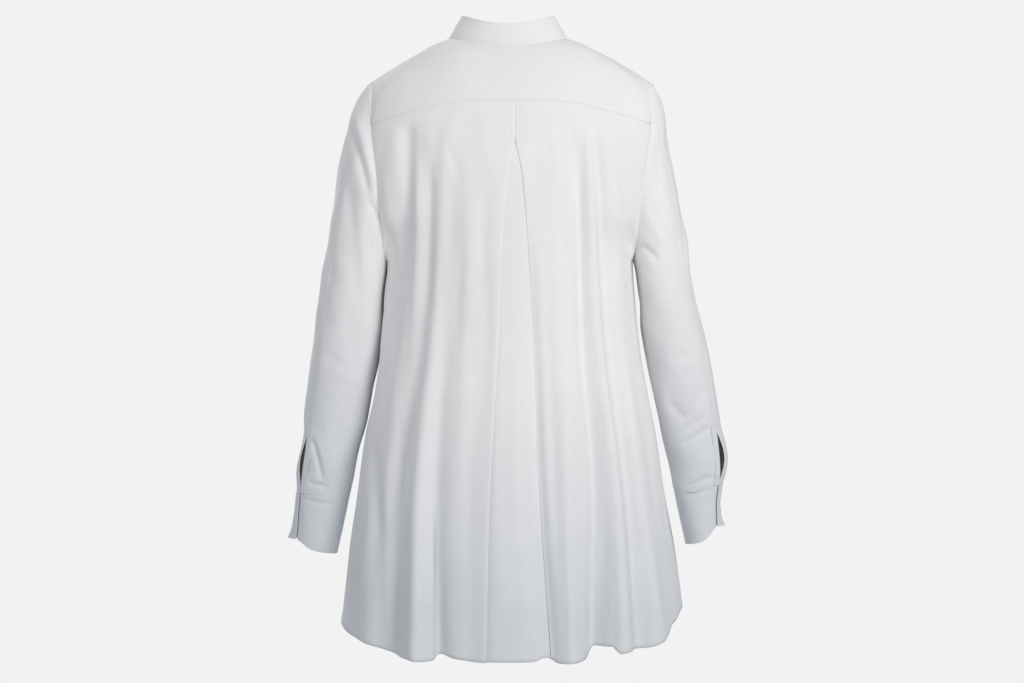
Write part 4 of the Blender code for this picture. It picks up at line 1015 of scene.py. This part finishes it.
def buttonProfile():  # radius and height from the middle of the face to the middle of the back
    r, t = button["radius"], button["thick"] / 2
    rim = button["rim"]
    return [(r * 0.55, t * button["faceAt"]), (r - rim * 1.6, t * 0.5), (r - rim * 1.1, t * 0.9),
        (r - rim * 0.5, t),
            (r - rim * 0.1, t * 0.7), (r, t * 0.1), (r * 0.97, -t * 0.5), (r * 0.85, -t), (r * 0.55, -t)]

def circleOf(bm, count, radius, height, x=0.0, y=0.0):
    turns = [2 * math.pi * k / count for k in range(count)]
    return [bm.verts.new((x + radius * math.cos(a), y + radius * math.sin(a), height)) for a in turns]

def around(loop):  # each corner of a loop with the next one
    return list(zip(loop, loop[1:] + loop[:1]))

def buttonMesh(name):
    bm = bmesh.new()
    rings = [circleOf(bm, button["sides"], radius, height) for radius, height in buttonProfile()]
    walls = list(zip(rings, rings[1:]))
    holes = []
    for i in range(4):
        a = math.pi / 4 + i * math.pi / 2
        x, y = math.cos(a) * button["holeOut"], math.sin(a) * button["holeOut"]
        ends = (rings[0], rings[-1])
        holes.append([circleOf(bm, button["holeSides"], button["hole"], ring[0].co.z, x, y) for ring in ends])
        walls.append(holes[-1][::-1])
    for upper, lower in walls:
        for (a, b), (c, d) in zip(around(upper), around(lower)):
            bm.faces.new((a, c, d, b))
    for level, ring in ((0, rings[0]), (1, rings[-1])):
        edges = [bm.edges.get(pair) for loop in [ring] + [h[level] for h in holes] for pair in around(loop)]
        bmesh.ops.triangle_fill(bm, use_beauty=True, edges=edges)
    bmesh.ops.recalc_face_normals(bm, faces=bm.faces[:])
    mesh = bpy.data.meshes.new(name)
    bm.to_mesh(mesh)
    bm.free()
    mesh.shade_smooth()
    return mesh

def buttonPlace(node):  # the middle of the CAD button, its outward direction and one across it
    points = np.array([v.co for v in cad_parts[node].data.vertices])
    middle = (points.min(axis=0) + points.max(axis=0)) / 2
    facing = np.linalg.svd(points - points.mean(axis=0), full_matrices=False)[2][2]
    height = (points - middle) @ facing
    wide = np.linalg.norm(points - middle - height[:, None] * facing, axis=1)
    if wide[height > 0].max() > wide[height < 0].max():
        facing = -facing
    up = np.array([0.0, 0.0, 1.0])
    across = np.cross(up, facing)
    across = across / np.linalg.norm(across)
    return middle, across, np.cross(facing, across), facing

def onCuff(word, near):  # the place on the dressed cuff that lies nearest, and its directions
    points, normals = grids["cuff" + word + "Cloth"]
    row, column = np.unravel_index(np.linalg.norm(points - near, axis=-1).argmin(), points.shape[:2])
    row, column = min(row, round(points.shape[0] * button["cuffHeight"])), column - button["cuffColumns"]
    facing = normals[row, column]
    middle = points[row, column] + facing * (button["thick"] / 2 + button["clear"])
    across = np.cross([0.0, 0.0, 1.0], facing)
    across = across / np.linalg.norm(across)
    return middle, across, np.cross(facing, across), facing

def threadTubes(name, paths, radius):  # laid thread as thin tubes
    def tube(guide):
        guide.data.bevel_depth = radius
        guide.data.bevel_resolution = 1
        guide.data.use_fill_caps = True

    threadPiece(name, paths, tube)

buttonhole = {"half": 0.0082, "width": 0.0011, "bar": 0.0002, "zigs": 34, "thread": 0.00014, "under": 0.0003}

def makeButtons():
    threads, holes = [], []
    for node in sorted(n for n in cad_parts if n.startswith("button_")):
        middle, across, up, facing = buttonPlace(node)
        if "cuff" in node:
            middle, across, up, facing = onCuff(node.split("_")[-1].capitalize(), middle)
        mesh = buttonMesh(node + "Shell")
        for v in mesh.vertices:
            v.co = middle + across * v.co.x + up * v.co.y + facing * v.co.z
        dressed(bpy.data.objects.new(node + "Shell", mesh), "button", node)
        top = button["thick"] / 2 * button["faceAt"]
        for sign in (1, -1):
            a = (across + up * sign) * button["holeOut"] * 0.7071
            arc = []
            for t in np.linspace(-1, 1, 9):
                rise = button["threadRise"] * (1 - t * t) - button["threadDip"] * abs(t) ** 6
                arc.append(middle + a * t + facing * (top + rise))
            threads.append(arc)
        base = middle - facing * (button["thick"] / 2 + buttonhole["under"])
        for sign in (1, -1):
            zig = []
            for k in range(buttonhole["zigs"] * 2 + 1):
                along = up * lerp(-buttonhole["half"], buttonhole["half"], k / buttonhole["zigs"] / 2)
                side = across * sign * (buttonhole["bar"] if k % 2 else buttonhole["width"])
                zig.append(base + along + side)
            holes.append(zig)
    threadTubes("buttonThreads", threads, button["thread"])
    threadTubes("buttonholes", holes, buttonhole["thread"])

makeButtons()
print("buttons sewn on")

# A record for the flat cut of a piece: its width, length, area and what it rests on.
Cut = namedtuple("Cut", "width length area restsOn")

view = {"away": 3.2, "z": -0.408, "x": -0.00135, "across": 1.3824}
camera = bpy.data.objects.new("camera", bpy.data.cameras.new("camera"))
camera.data.sensor_width = 36.0
camera.data.lens = 36.0 * view["away"] / view["across"]
camera.location = (view["x"], view["away"], view["z"])
camera.rotation_euler = (math.radians(90), 0, math.radians(180))
bpy.context.scene.collection.objects.link(camera)
bpy.context.scene.camera = camera

light = {"sky": 0.45, "backdrop": "#F2F2F2", "aimZ": -0.4}
Lamp = namedtuple("Lamp", "name place size power colour")
lamps = [
    Lamp("key", (-1.4, 2.3, 0.8), 1.2, 43.0, "#FFFCF9"),
    Lamp("fill", (2.2, 1.6, 0.2), 2.0, 5.5, "#F2F6FF"),
    Lamp("frontFill", (1.4, -2.2, 0.9), 1.4, 30.0, "#FFFFFF"),
]
for row in lamps:
    lamp = bpy.data.objects.new(row.name, bpy.data.lights.new(row.name, "AREA"))
    lamp.data.size = row.size
    lamp.data.energy = row.power
    lamp.data.color = hexColour(row.colour)[:3]
    lamp.location = row.place
    aim = Vector(row.place) - Vector((0, 0, light["aimZ"]))
    lamp.rotation_euler = aim.to_track_quat("Z", "Y").to_euler()
    bpy.context.scene.collection.objects.link(lamp)

scene = bpy.context.scene
scene.view_settings.view_transform = "Standard"
world = bpy.data.worlds.new("studio")
scene.world = world
world.use_nodes = True
tree = world.node_tree
tree.nodes.clear()
seen = addNode(tree, "ShaderNodeLightPath")
backdrop = addNode(tree, "ShaderNodeBackground", {"Color": hexColour(light["backdrop"]), "Strength": 1.0})
sky = addNode(tree, "ShaderNodeBackground", {"Color": hexColour("#F4F7FA"), "Strength": light["sky"]})
shares = {0: seen.outputs["Is Camera Ray"], 1: sky.outputs[0], 2: backdrop.outputs[0]}
mixed = addNode(tree, "ShaderNodeMixShader", None, shares)
addNode(tree, "ShaderNodeOutputWorld", None, {"Surface": mixed.outputs[0]})

floorSize = {"radius": 1.3, "z": -1.35}
bm = bmesh.new()
bmesh.ops.create_circle(bm, cap_ends=True, segments=64, radius=floorSize["radius"])
mesh = bpy.data.meshes.new("floor")
bm.to_mesh(mesh)
bm.free()
for v in mesh.vertices:
    v.co.z = floorSize["z"]
floor = bpy.data.objects.new("floor", mesh)
scene.collection.objects.link(floor)
pale = bpy.data.materials.new("matt studio floor")
pale.use_nodes = True
pale.node_tree.nodes["Principled BSDF"].inputs["Base Color"].default_value = hexColour("#E8E8E8")
pale.node_tree.nodes["Principled BSDF"].inputs["Roughness"].default_value = 0.9
mesh.materials.append(pale)
print("camera, light and floor set")
